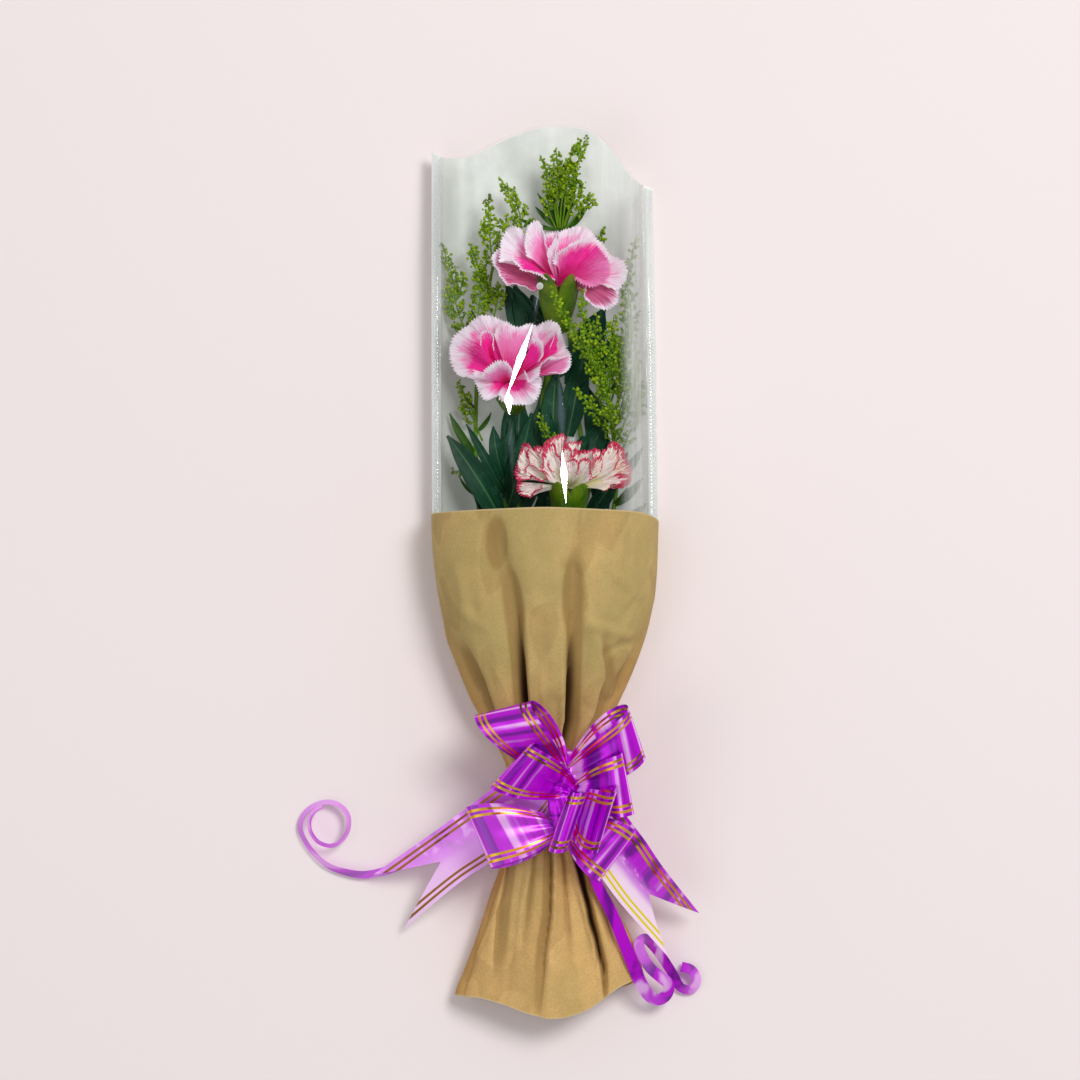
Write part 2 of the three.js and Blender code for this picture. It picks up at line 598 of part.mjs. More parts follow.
// The band round the gathered neck, resting on the paper's pleats.
function tieBand() {
  const sides = 24;
  const reach = along(pleatDepth, neck) + sheetThickness + fitGap * 4;
  const rows = [-0.5, 0.5].map((edge) => Array.from({ length: sides }, (_, k) => {
    const turn = k / sides;
    const point = sectionPoint(neck + edge * bandWidth, turn).addScaledVector(outward(turn), reach);
    point.z = Math.max(point.z, sheetThickness / 2);
    return point;
  }));
  return named('tie_band', thicken(sheetSurface(rows, true)), colours.ribbon, 0.25, 0.1);
}

// Curling ribbons: a centre line, and how far the ribbon leans from standing on edge, in degrees at
// shares of its run.
const curls = {
  left: {
    side: 1,
    lean: [[0, 90], [0.42, 85], [0.56, 32], [1, 32]],
    path: [[-2, -251, 38], [-16, -256, 34.4], [-36, -266, 27], [-58, -278, 16], [-76, -285, 6.5],
      [-86, -288.6, 4], [-95, -290, 3.8], [-104.5, -288.6, 3.8], [-114, -285, 3.8], [-121, -279, 3.8],
      [-126, -272, 3.8], [-128.4, -265.7, 3.8], [-127, -259.5, 3.8], [-123.5, -255.3, 4],
      [-118, -252.5, 4.4], [-112, -252, 5], [-106.6, -254.3, 5.8], [-103.2, -259, 6.6], [-103.2, -266, 7.6],
      [-106.5, -271.8, 8.6], [-112, -274.5, 9.4], [-118.5, -272.5, 10], [-122.5, -267.5, 10.6],
      [-123.3, -261.5, 11.2]],
  },
  right: {
    side: -1,
    lean: [[0, 90], [0.45, 80], [0.6, 50], [1, 40]],
    path: [[18.2, -250, 31], [21, -262, 33.5], [24, -278, 34], [26.5, -291.2, 33.5], [34.8, -308.4, 31],
      [41, -323.4, 28], [46.3, -336.4, 23], [51, -347.4, 17], [56.2, -354, 13.5], [60.5, -354.6, 12.5],
      [64, -351.5, 13], [64.5, -346.5, 14], [60.3, -342.7, 15.5], [55.1, -338, 17.5], [50.5, -330.5, 19.5],
      [49, -325, 19], [52, -322.5, 16.5], [57, -327, 12], [62, -334, 8], [66.5, -341, 6], [71.5, -349.2, 5],
      [77, -350, 4.6], [79.5, -345.3, 4.8], [77, -340, 5.2], [71.5, -338, 5.6]],
  },
};

function curlRibbon(name, { side, lean, path }) {
  const line = new THREE.CatmullRomCurve3(path.map((p) => V(...p)), false, 'centripetal');
  const steps = 34;
  const rows = Array.from({ length: steps + 1 }, (_, k) => {
    const share = k / steps;
    const at = line.getPointAt(share);
    const aside = line.getTangentAt(share).cross(V(0, 0, 1)).normalize();
    const angle = THREE.MathUtils.degToRad(along(lean, share));
    const width = V(0, 0, Math.cos(angle)).addScaledVector(aside, side * Math.sin(angle));
    return [-0.5, 0.5].map((edge) => at.clone().addScaledVector(width, edge * curlWidth));
  });
  return named(`curl_ribbon_${name}`, thicken(sheetSurface(rows)), colours.ribbon, 0.25, 0.1);
}

const bouquet = new THREE.Group();
bouquet.add(
  paperWrap(),
  film('film_front', true, colours.film),
  film('film_back', false, colours.frost),
);
for (const [name, spec] of Object.entries(carnations)) bouquet.add(carnation(name, spec));
for (const [name, spec] of Object.entries(goldenrods)) bouquet.add(goldenrod(name, spec));
bouquet.add(bow(), tieBand());
for (const [name, spec] of Object.entries(curls)) bouquet.add(curlRibbon(name, spec));

export default bouquet;
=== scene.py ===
# A gift bunch of three carnations and goldenrod, lying on its back in a sleeve of film and kraft
# paper that is gathered at the neck and tied with a pull bow of purple ribbon.
import math

import bpy
import numpy as np
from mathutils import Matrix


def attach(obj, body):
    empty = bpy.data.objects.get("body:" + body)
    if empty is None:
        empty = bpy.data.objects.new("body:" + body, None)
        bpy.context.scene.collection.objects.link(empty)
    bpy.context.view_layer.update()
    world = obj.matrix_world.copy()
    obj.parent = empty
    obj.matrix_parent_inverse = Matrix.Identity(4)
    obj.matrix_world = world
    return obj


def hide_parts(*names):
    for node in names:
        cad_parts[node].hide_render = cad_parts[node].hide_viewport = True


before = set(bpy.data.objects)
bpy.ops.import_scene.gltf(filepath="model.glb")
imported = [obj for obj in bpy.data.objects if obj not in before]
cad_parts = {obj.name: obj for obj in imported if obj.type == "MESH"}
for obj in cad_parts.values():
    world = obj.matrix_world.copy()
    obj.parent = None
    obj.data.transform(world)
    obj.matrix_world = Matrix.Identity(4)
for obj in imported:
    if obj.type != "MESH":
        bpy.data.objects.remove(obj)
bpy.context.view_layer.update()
scene = bpy.context.scene
millimetre = 0.001


# Numbers and lines

def rgb(red, green, blue):  # a colour as a screen shows it, from 0 to 255, made linear
    return tuple(((c / 255 + 0.055) / 1.055) ** 2.4 for c in (red, green, blue)) + (1,)


def lerp(first, last, share):
    return first + (last - first) * share


def smoothstep(value, low, high):
    share = np.clip((value - low) / (high - low), 0, 1)
    return share * share * (3 - 2 * share)


def along(table, place, soften=0):  # a table of [place, value], rounded off over soften to both sides
    places, values = np.array(table, float).T
    spread = np.linspace(-soften, soften, 5) if soften else [0]
    return sum(np.interp(np.asarray(place) + d, places, values) for d in spread) / len(spread)


def unit(vectors):
    return vectors / np.maximum(np.linalg.norm(vectors, axis=-1, keepdims=True), 1e-9)


def smoothLine(points, shares, byLength=True):  # a centripetal curve through the points, at these shares
    p = np.array(points, float)
    p = np.vstack([2 * p[0] - p[1], p, 2 * p[-1] - p[-2]])
    gap = np.maximum(np.linalg.norm(np.diff(p, axis=0), axis=1) ** 0.5, 1e-4)[:, None]
    slope = (p[1:-1] - p[:-2]) / gap[:-1] - (p[2:] - p[:-2]) / (gap[:-1] + gap[1:]) + (p[2:] - p[1:-1]) / gap[1:]

    def curve(t):
        i = np.clip(t.astype(int), 0, len(p) - 4)
        f = (t - i)[:, None]
        a, b, width = p[i + 1], p[i + 2], gap[i + 1]
        return ((2 * f**3 - 3 * f**2 + 1) * a + (f**3 - 2 * f**2 + f) * slope[i] * width
                + (3 * f**2 - 2 * f**3) * b + (f**3 - f**2) * slope[i + 1] * width)

    shares = np.asarray(shares, float)
    if not byLength:
        return curve(shares * (len(p) - 3))
    dense = np.linspace(0, len(p) - 3, 40 * (len(p) - 3))
    run = np.concatenate([[0], np.cumsum(np.linalg.norm(np.diff(curve(dense), axis=0), axis=1))])
    return curve(np.interp(shares * run[-1], run, dense))


def arch(points, shares):  # a quadratic curve from the first point to the last, drawn towards the second
    a, b, c = np.array(points, float)
    s = np.asarray(shares, float)[:, None]
    return (1 - s) ** 2 * a + 2 * s * (1 - s) * b + s * s * c


def tangents(line):
    return unit(np.gradient(line, axis=0))


def lengthOf(line):
    return np.linalg.norm(np.diff(line, axis=0), axis=1).sum()


def circle(count):  # the angles of points spaced evenly once round
    return np.arange(count) / count * 2 * np.pi


def stacked(*parts):  # numbers and grids, stretched to one shape and joined as the parts of a vector
    return np.stack(np.broadcast_arrays(*parts), -1)


def ringFaces(rows, sides):  # the faces round a stack of rings, and those over its first and last ring
    index = np.arange(rows * sides).reshape(rows, sides)
    after = np.roll(index, -1, 1)
    wall = np.stack([index[:-1], after[:-1], after[1:], index[1:]], -1).reshape(-1, 4)
    return wall, [index[0][::-1]], [index[-1]]


def linked(name, data):
    made = bpy.data.objects.new(name, data)
    scene.collection.objects.link(made)
    return made


def gridNormals(grid, closed):
    if closed:
        across = np.roll(grid, -1, 1) - np.roll(grid, 1, 1)
    else:
        across = np.gradient(grid, axis=1)
    return unit(np.cross(across, np.gradient(grid, axis=0)))


# Sheets, tubes and stamped shapes, gathered in millimetres into one mesh. Each point has a mark of
# three numbers for its material: across, along, and the seed of its own part.

class Heap:
    def __init__(self):
        self.points, self.marks, self.faces, self.finishes = [], [], [], []
        self.size = 0

    def add(self, points, marks, faces, finish=0):
        self.points.append(points.reshape(-1, 3))
        self.marks.append(np.broadcast_to(marks, points.shape).reshape(-1, 3))
        for group in faces:
            self.faces.extend((np.asarray(group) + self.size).tolist())
            self.finishes.extend([finish] * len(group))
        self.size += len(self.points[-1])

    # A grid of rows made into a thin sheet: both faces and the walls round its free edges.
    def sheet(self, grid, thickness, marks, finish=0, closed=False, under=None):
        rows, columns = grid.shape[:2]
        half = gridNormals(grid, closed) * thickness / 2
        index = np.arange(rows * columns).reshape(rows, columns)
        after = np.roll(index, -1, 1) if closed else index[:, 1:]
        here = index if closed else index[:, :-1]
        top = np.stack([here[:-1], after[:-1], after[1:], here[1:]], -1).reshape(-1, 4)
        edges = [(here[0], after[0]), (after[-1], here[-1])]
        if not closed:
            edges += [(index[:-1, -1], index[1:, -1]), (index[1:, 0], index[:-1, 0])]
        below = rows * columns
        walls = [np.stack([p, p + below, q + below, q], -1) for p, q in edges]
        start = len(self.finishes)
        self.add(np.stack([grid + half, grid - half]), marks, [top, top[:, ::-1] + below, *walls], finish)
        if under is not None:
            self.finishes[start + len(top):start + 2 * len(top)] = [under] * len(top)

    def tube(self, line, radius, sides, marks, finish=0):
        ahead = tangents(line)
        normal = np.zeros_like(line)
        start = np.cross(ahead[0], [0, 0, 1] if abs(ahead[0][2]) < 0.9 else [1, 0, 0])
        for k, way in enumerate(ahead):
            start = start - way * np.dot(start, way)
            start = start / np.linalg.norm(start)
            normal[k] = start
        turn = circle(sides)[None, :, None]
        ring = np.cos(turn) * normal[:, None] + np.sin(turn) * np.cross(ahead, normal)[:, None]
        grid = line[:, None] + ring * np.broadcast_to(radius, len(line))[:, None, None]
        self.add(grid, np.reshape(marks, (-1, 1, 3)), ringFaces(len(line), sides), finish)

    # Copies of a lathed shape, given as rings of [radius, height], at places that each point some way.
    def stamp(self, rings, sides, places, ways, sizes, marks, finish=0):
        ways = unit(ways)
        side = unit(np.cross(ways, np.where(np.abs(ways[:, 2:]) < 0.9, [[0, 0, 1]], [[1, 0, 0]])))
        radius, height = np.array(rings, float).T[..., None]
        turn = circle(sides)
        shape = stacked(radius * np.cos(turn), radius * np.sin(turn), height).reshape(-1, 3)
        basis = np.stack([side, np.cross(ways, side), ways], 1)
        points = places[:, None] + (shape @ basis) * sizes[:, None, None]
        starts = (np.arange(len(places)) * len(shape))[:, None, None]
        faces = [(starts + group).reshape(-1, len(group[0])) for group in ringFaces(len(rings), sides)]
        self.add(points, marks[:, None], faces, finish)

    def mesh(self, name, finishes, smoothAngle=60):
        mesh = bpy.data.meshes.new(name)
        mesh.from_pydata((np.concatenate(self.points) * millimetre).tolist(), [], self.faces)
        mark = mesh.attributes.new("mark", "FLOAT_VECTOR", "POINT")
        mark.data.foreach_set("vector", np.concatenate(self.marks).astype(np.float32).ravel())
        mesh.polygons.foreach_set("material_index", self.finishes)
        mesh.shade_smooth()
        mesh.set_sharp_from_angle(angle=math.radians(smoothAngle))
        mesh.update()
        for finish in finishes:
            mesh.materials.append(finish.material)
        return mesh


def makePiece(name, heap, node, finishes, smoothAngle=60):
    piece = linked(name, heap.mesh(name, finishes, smoothAngle))
    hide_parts(node)
    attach(piece, "root")
    print(f"{name}: {sum(len(face) - 2 for face in heap.faces)} triangles")


# Materials

class Value:  # a socket in an expression: each operator adds its Math node
    def __init__(self, finish, socket):
        self.finish, self.socket = finish, socket

    def maths(self, operation, *inputs):
        return self.finish.node("ShaderNodeMath", {"operation": operation}, dict(enumerate(inputs)))

    def other(self, output):
        return Value(self.finish, self.socket.node.outputs[output])

    def __add__(self, value):
        return self.maths("ADD", self, value)

    def __sub__(self, value):
        return self.maths("SUBTRACT", self, value)

    def __rsub__(self, value):
        return self.maths("SUBTRACT", value, self)

    def __mul__(self, value):
        return self.maths("MULTIPLY", self, value)

    def __truediv__(self, value):
        return self.maths("DIVIDE", self, value)

    def __pow__(self, value):
        return self.maths("POWER", self, value)

    def __abs__(self):
        return self.maths("ABSOLUTE", self)

    __radd__ = __add__
    __rmul__ = __mul__


class Finish:  # a material: its Principled shader, and one method for any other node
    def __init__(self, name, inputs):
        self.material = bpy.data.materials.new(name)
        self.material.use_nodes = True
        self.tree = self.material.node_tree
        self.shader = self.tree.nodes["Principled BSDF"]
        self.feed(inputs)

    def feed(self, inputs, node=None):
        for key, value in inputs.items():
            socket = (node or self.shader).inputs[key]
            if isinstance(value, Value):
                self.tree.links.new(value.socket, socket)
            else:
                socket.default_value = value

    def node(self, kind, settings=None, inputs=None, output=0):
        made = self.tree.nodes.new(kind)
        for key, value in (settings or {}).items():
            setattr(made, key, value)
        self.feed(inputs or {}, made)
        return Value(self, made.outputs[output])

    def show(self, shader):
        self.tree.links.new(shader.socket, self.tree.nodes["Material Output"].inputs[0])

    def parts(self, vector):
        x = self.node("ShaderNodeSeparateXYZ", {}, {0: vector})
        return x, x.other("Y"), x.other("Z")

    def marks(self):
        return self.parts(self.node("ShaderNodeAttribute", {"attribute_name": "mark"}, output="Vector"))

    def place(self):
        return self.node("ShaderNodeTexCoord", output="Object")

    def vector(self, operation, first, second):
        return self.node("ShaderNodeVectorMath", {"operation": operation}, {0: first, 1: second})

    def scaled(self, vector, x, y, z):
        return self.vector("MULTIPLY", vector, (x, y, z))

    def joined(self, x, y, z):
        return self.node("ShaderNodeCombineXYZ", {}, {0: x, 1: y, 2: z})

    def noise(self, vector, scale, detail=3, roughness=0.5):
        return self.node("ShaderNodeTexNoise", {}, {"Vector": vector, "Scale": scale, "Detail": detail,
                                                    "Roughness": roughness}, "Fac")

    def cells(self, vector, scale):
        return self.node("ShaderNodeTexVoronoi", {}, {"Vector": vector, "Scale": scale}, "Distance")

    def step(self, value, low, high):
        return self.node("ShaderNodeMapRange", {"interpolation_type": "SMOOTHSTEP"}, {0: value, 1: low, 2: high})

    def mix(self, share, first, last):
        return self.node("ShaderNodeMix", {"data_type": "RGBA"}, {0: share, 6: first, 7: last}, 2)

    # Colours laid over the first one. Each row: a value, where it starts and is full, how strongly, colour.
    def layers(self, colour, *rows):
        for value, low, high, share, other in rows:
            colour = self.mix(self.step(value, low, high) * share, colour, other)
        return colour

    def away(self, x, y, spot):  # how far a place lies from a spot given in millimetres
        return ((x - spot[0] * millimetre) ** 2 + (y - spot[1] * millimetre) ** 2) ** 0.5

    def blend(self, share, first, last):
        return self.node("ShaderNodeMixShader", {}, {0: share, 1: first, 2: last})

    def bump(self, height, distance, strength=1):
        return self.node("ShaderNodeBump", {}, {"Height": height, "Distance": distance, "Strength": strength})


# Camera, lights and floor

view = {
    "centre": (-2.6, -114.4), "height": 3000, "across": 561.6, "aim": 30,
    "floor": rgb(248, 238, 239), "floorTint": rgb(244, 236, 235), "floorReach": 4000, "floorGap": 0.2,
    "sky": rgb(255, 253, 252), "skyStrength": 0.38,
    "lights": [
        # name, place, size across and along, watts, colour
        ("key", (1200, 1150, 2800), (1150, 1150), 57, (1, 0.99, 0.97)),
        ("fill", (-1800, -900, 2600), (1800, 1800), 11, (0.97, 0.985, 1)),
        ("strip", (2.6, 124, 3350), (180, 360), 4, (1, 1, 1)),
    ],
}


def makeView():
    x, y = view["centre"]
    camera = bpy.data.cameras.new("camera")
    camera.sensor_width = 36
    camera.lens = camera.sensor_width * (view["height"] - view["aim"]) / view["across"]
    camera.clip_end = 20
    scene.camera = linked("camera", camera)
    scene.camera.location = (x * millimetre, y * millimetre, view["height"] * millimetre)

    for name, place, (across, length), watts, colour in view["lights"]:
        light = bpy.data.lights.new(name, "AREA")
        light.shape, light.size, light.size_y = "RECTANGLE", across * millimetre, length * millimetre
        light.energy, light.color = watts, colour
        lamp = linked(name, light)
        lamp.location = [(a + b) * millimetre for a, b in zip(place, (x, y, 0))]
        lamp.rotation_euler = (-lamp.location.normalized()).to_track_quat("-Z", "Y").to_euler()

    world = bpy.data.worlds.new("studio")
    world.use_nodes = True
    sky = world.node_tree.nodes["Background"].inputs
    sky[0].default_value, sky[1].default_value = view["sky"], view["skyStrength"]
    scene.world = world
    scene.view_settings.view_transform = "Standard"

    card = Finish("studioCard", {"Roughness": 0.9, "Specular IOR Level": 0.1})
    card.feed({"Base Color": card.mix(card.noise(card.place(), 3, 2) * 0.2, view["floor"], view["floorTint"])})
    floor = Heap()
    corners = np.array([[-1, -1, 0], [1, -1, 0], [1, 1, 0], [-1, 1, 0]]) * view["floorReach"]
    floor.add(corners, (0, 0, 0), [[[0, 1, 2, 3]]])
    ground = linked("floor", floor.mesh("floor", [card]))
    ground.location.z = -view["floorGap"] * millimetre
    print(f"camera, {len(view['lights'])} lights and floor")


# Sleeve: its outline and heights as [y, value] stations, from the flared end to the open top

sleeve = {
    "left": [[-352, -46.5], [-322, -34.5], [-301, -27.5], [-283, -21], [-257, -17], [-244, -16.2],
             [-234, -17.5], [-218, -25], [-200, -36], [-185, -42.6], [-168, -49.5], [-150, -53.8],
             [-135, -56.6], [-120, -58.5], [-100, -59.4], [-20, -59.6], [100, -59.6]],
    "right": [[-352, 51], [-322, 42], [-301, 32], [-283, 24], [-257, 17.5], [-244, 16.2], [-234, 17.5],
              [-218, 25.5], [-200, 36.4], [-185, 43.7], [-168, 50.5], [-150, 56], [-135, 57.8],
              [-120, 58.6], [-100, 59.3], [-20, 58.4], [100, 56]],
    "top": [[-352, 27], [-322, 33], [-301, 36], [-283, 36], [-257, 34.8], [-244, 34.2], [-218, 38],
            [-200, 43], [-168, 52], [-135, 59], [-100, 61.5], [-20, 62], [30, 61], [60, 54], [100, 38]],
    "seam": [[-352, 8], [-301, 13], [-257, 17], [-244, 17.5], [-218, 16], [-135, 14.5], [30, 15], [100, 11]],
    "base": [[-352, 0.3], [-283, 0.9], [-257, 2.1], [-234, 2.1], [-218, 1], [-200, 0.3], [100, 0.3]],
    "round": [[-352, 0.1], [-301, 0.35], [-257, 1], [-234, 1], [-200, 0.55], [-168, 0.2], [-130, 0], [100, 0]],
    "soften": 7, "frontFullness": 0.85, "backFlat": 0.7, "seamRoom": 5.6, "plantsFrom": -118,
}


def outline(key, y):  # what one of the sleeve's lists gives at y
    return along(sleeve[key], y, sleeve["soften"])


# A point of the section at y: angle 0 at the left seam, over the front to pi at the right, and back under.
def sleevePoint(y, angle, inset=0, drop=0):
    y, angle = np.broadcast_arrays(np.asarray(y, float), np.asarray(angle, float))
    left, right, top, seam, base, roundness = (
        outline(key, y) for key in ("left", "right", "top", "seam", "base", "round"))
    left, right, top, base = left + inset, right - inset, top - 0.3 - drop, base + drop
    half = (right - left) / 2
    rise = np.abs(np.sin(angle))
    front = lerp(seam, top, rise ** sleeve["frontFullness"])
    back = lerp(base, seam, np.clip(1 - rise / sleeve["backFlat"], 0, 1) ** 1.5)
    pillow = np.where(np.sin(angle) >= 0, front, back)
    tall = (top - base) / 2
    height = lerp(pillow, base + tall + tall * np.sin(angle), roundness)
    return np.stack([(left + right) / 2 - half * np.cos(angle), y, height], -1)


# Plants are kept clear of the films and inside the seams.
def keepInside(points, gap=1.2):
    x, y, z = points[..., 0], points[..., 1], points[..., 2]
    left, right = outline("left", y), outline("right", y)
    middle, half = (left + right) / 2, (right - left) / 2 - sleeve["seamRoom"]
    angle = np.arccos(np.clip((middle - x) / half, -1, 1))
    ceiling = sleevePoint(y, angle, 5, 1.2)[..., 2] - gap
    floor = sleevePoint(y, -angle, 5, 1)[..., 2] + gap
    kept = points.copy()
    kept[..., 0] = np.clip(x, middle - half + 0.6, middle + half - 0.6)
    kept[..., 2] = np.clip(z, floor, np.maximum(ceiling, floor + 0.5))
    return np.where((y > sleeve["plantsFrom"])[..., None], kept, points)


# Kraft paper

paper = {
    "columns": 224, "rows": 150, "thickness": 0.4, "pleats": 8,
    "from": -100, "to": -352, "girth": 300, "widest": 118,
    # how far the cut edges rise and fall, as [turn, rise] round the sleeve
    "topEdge": [[0, -1], [0.25, 2.8], [0.4, 0.5], [0.5, -5], [0.75, -2], [1, -1]],
    "lowEdge": [[0, -0.6], [0.12, -1.1], [0.17, -4.7], [0.21, -8.9], [0.25, -12], [0.28, -11], [0.32, -7.3],
                [0.35, -1.6], [0.38, 4.1], [0.42, 7.2], [0.5, 9], [0.75, -5], [1, -0.6]],
    "pleatDepth": [[-352, 1.6], [-301, 1.8], [-257, 1.5], [-244, 1.2], [-234, 1.5], [-200, 1.9],
                   [-168, 1.2], [-135, 0.4], [-110, 0], [100, 0]],
    # folds pressed into the front: how much steeper the right side is, then stations of y, x, depth
    # and half width
    "folds": [
        [0.4, [-232, -7, 8, 2.2], [-205, -10.5, 12, 2.8], [-192, -11.5, 11, 3], [-176, -12.5, 8, 3.2],
         [-160, -14.5, 5, 3.8], [-146, -17, 3, 4.6], [-128, -20, 1.6, 6], [-110, -27, 0.6, 7]],
        [-0.4, [-232, 8, 9, 2.2], [-208, 12.8, 13, 2.8], [-192, 13.4, 11, 3], [-176, 13.6, 7, 3.4],
         [-160, 14.4, 4, 4], [-138, 15, 2.2, 4.6], [-112, 15.5, 1, 5]],
        [0.3, [-228, -13, 4, 2], [-205, -27, 5, 2.8], [-186, -35, 4, 3.2], [-166, -43, 1, 4]],
        [-0.3, [-228, 15, 4, 2], [-205, 27, 4.4, 2.8], [-186, 33, 3, 3.6], [-160, 30, 1, 5]],
        [-0.4, [-350, 31, 3, 1.6], [-337, 29.8, 7, 1.4], [-320, 25.5, 10, 1.4], [-305, 21.8, 12, 1.6],
         [-286, 16.8, 13, 1.9], [-262, 9, 7, 1.7]],
        [0.6, [-350, -2.6, 1.6, 4], [-340, -1.8, 2.4, 3.4], [-322, 0.1, 3.6, 2.8], [-307, 2.6, 4.4, 2.4],
         [-283, 3.2, 5.4, 2.2], [-262, 2, 4, 1.7]],
        [-0.6, [-345, -27, 0.4, 4.5], [-322, -24.6, 3.4, 3.4], [-307, -22.8, 4.2, 2.8], [-284, -18.5, 4.4, 2.2],
         [-262, -9, 2.4, 1.6]],
        [0.6, [-330, 36, 1, 2.5], [-312, 31.5, 3.4, 2], [-296, 25.5, 4, 1.8], [-280, 20, 3, 1.5]],
        [0.6, [-335, 15, 0.8, 4], [-310, 12.5, 2, 2.4], [-281, 10.5, 2, 1.8], [-262, 6, 1.4, 1.5]],
        [-0.5, [-330, -12, 0.8, 4], [-300, -8.5, 2, 3], [-281, -6, 2, 1.8], [-262, -3, 1.2, 1.5]],
    ],
    # dents in the flat of the front: x, y, half width, half length, lean and depth
    "dents": [(-25.5, -117, 6.6, 15, 0, 2.2), (-17, -146, 6.6, 20, -0.16, 2.2), (14.5, -143, 6.4, 22, 0.03, 2),
              (18, -108, 2.4, 12, 0.05, 1), (-40, -182, 6, 15, -0.5, 2.2), (42, -186, 5, 15, 0.5, 1.8),
              (-38, -140, 4, 18, 0, 0.6), (42, -120, 4, 16, 0.1, 0.8)],
    # ridges of the crumpled part low on the right, and a few more: both ends and the height
    "ridges": [((20.5, -125), (22.5, -158), 1.6), ((22.5, -158), (45, -165), 1.8), ((22.5, -158), (29, -174), 1.6),
               ((29, -174), (49, -166), -1.6), ((30, -125), (48, -146), 1.3), ((48, -146), (36, -137), -1),
               ((38, -104), (49, -145), 1), ((29, -174), (34, -196), 1.8), ((-46, -128), (-38, -160), 1.1),
               ((-12, -112), (-4, -150), 0.9), ((2, -150), (6, -196), 1.2), ((-30, -160), (-44, -150), 1.1)],
    "ridgeWidth": 4,
    # small creases all round: y, the greatest lean in radians, half length, half width and greatest height
    "creases": {"count": 70, "seed": 4, "y": (-350, -112), "lean": 0.7, "long": (9, 26), "wide": (2.5, 6),
                "high": 1.5},
    "colour": rgb(197, 172, 112), "warm": rgb(230, 188, 122), "edge": rgb(176, 118, 46),
    "dark": rgb(160, 130, 72), "light": rgb(206, 186, 136), "olive": rgb(164, 152, 92),
    # shaded and crease are painted shade, laid into the folds, the dents and noise blotches
    "shaded": rgb(140, 106, 54), "crease": rgb(66, 38, 12), "fibre": rgb(126, 98, 56), "cut": rgb(214, 192, 146),
}


def paperGrid():
    share = np.linspace(0, 1, paper["rows"])[:, None]
    y, angle = np.broadcast_arrays(lerp(paper["from"], paper["to"], share), circle(paper["columns"])[None])
    turn = angle / (2 * np.pi)
    grid = sleevePoint(y, angle)
    outward = stacked(-np.cos(angle), 0, np.sin(angle))
    phase = paper["pleats"] * angle + 0.9 * np.sin(2 * angle) + 0.4 + 0.35 * np.sin(y / 26)
    pleat = 2 * np.abs(np.cos(phase / 2)) ** 0.75 - 1.15
    onFront = smoothstep(np.sin(angle), 0.05, 0.5)
    depth = along(paper["pleatDepth"], y) * pleat * lerp(1, 0.45, onFront)

    x = grid[..., 0]
    paintedShade, sunk = np.zeros_like(x), np.zeros_like(x)
    for steep, *fold in paper["folds"]:
        places, *others = np.array(sorted(fold), float).T
        at, deep, wide = (np.interp(y, places, values) for values in others)
        away = np.abs(x - at) / (wide * np.where(x > at, 1 - steep, 1 + steep))
        ends = smoothstep(y, places[0] - 12, places[0] + 2) * (1 - smoothstep(y, places[-1], places[-1] + 8))
        shown = onFront * ends * deep
        sunk = sunk + shown * (np.exp(-away**1.4) - 0.22 * np.exp(-(away - 2.4) ** 2))  # a lip on both sides
        # Painted shade: each fold is painted darker towards its bottom.
        paintedShade = np.maximum(paintedShade, shown / 9 * np.exp(-away**2))
    for atX, atY, wide, long, lean, deep in paper["dents"]:
        aside = x - atX - lean * (y - atY)
        inside = np.exp(-(((aside / wide) ** 2 + ((y - atY) / long) ** 2) ** 1.8))
        depth = depth - onFront * deep * inside
        # Painted shade over each dent as well.
        paintedShade = np.maximum(paintedShade, onFront * min(0.16 * deep, 0.3) * inside)
    for (x0, y0), (x1, y1), high in paper["ridges"]:
        length = math.hypot(x1 - x0, y1 - y0)
        run = ((x - x0) * (x1 - x0) + (y - y0) * (y1 - y0)) / length
        off = ((x - x0) * (y1 - y0) - (y - y0) * (x1 - x0)) / length
        ends = smoothstep(run, -2, 2) * (1 - smoothstep(run, length - 2, length + 2))
        depth = depth + onFront * ends * high * np.clip(1 - np.abs(off) / paper["ridgeWidth"], 0, 1)

    creases = paper["creases"]
    draw = np.random.RandomState(creases["seed"])
    around = paper["girth"] * np.clip((outline("right", y) - outline("left", y)) / paper["widest"], 0.3, 1)
    for _ in range(creases["count"]):
        atTurn, atY = draw.uniform(0, 1), draw.uniform(*creases["y"])
        lean = draw.uniform(-creases["lean"], creases["lean"])
        long, wide = draw.uniform(*creases["long"]), draw.uniform(*creases["wide"])
        high = draw.uniform(-1, 1) * creases["high"]
        aside = (((turn - atTurn + 0.5) % 1) - 0.5) * around
        down = y - atY
        off = np.abs(aside * math.cos(lean) - down * math.sin(lean))
        run = np.abs(aside * math.sin(lean) + down * math.cos(lean))
        depth = depth + high * np.clip(1 - off / wide, 0, 1) * (1 - smoothstep(run, long * 0.5, long))

    grid = grid + outward * depth[..., None]
    grid[..., 0] -= outward[..., 0] * sunk * smoothstep(y, -268, -250)  # straight down in the flare
    grid[..., 2] -= outward[..., 2] * sunk
    grid[..., 1] += along(paper["topEdge"], turn, 0.02) * smoothstep(y, -150, -100)
    grid[..., 1] += along(paper["lowEdge"], turn, 0.012) * (1 - smoothstep(y, -352, -296))
    grid[..., 2] = np.maximum(grid[..., 2], outline("base", y))
    return grid, stacked(turn, share, np.clip(paintedShade, 0, 1))


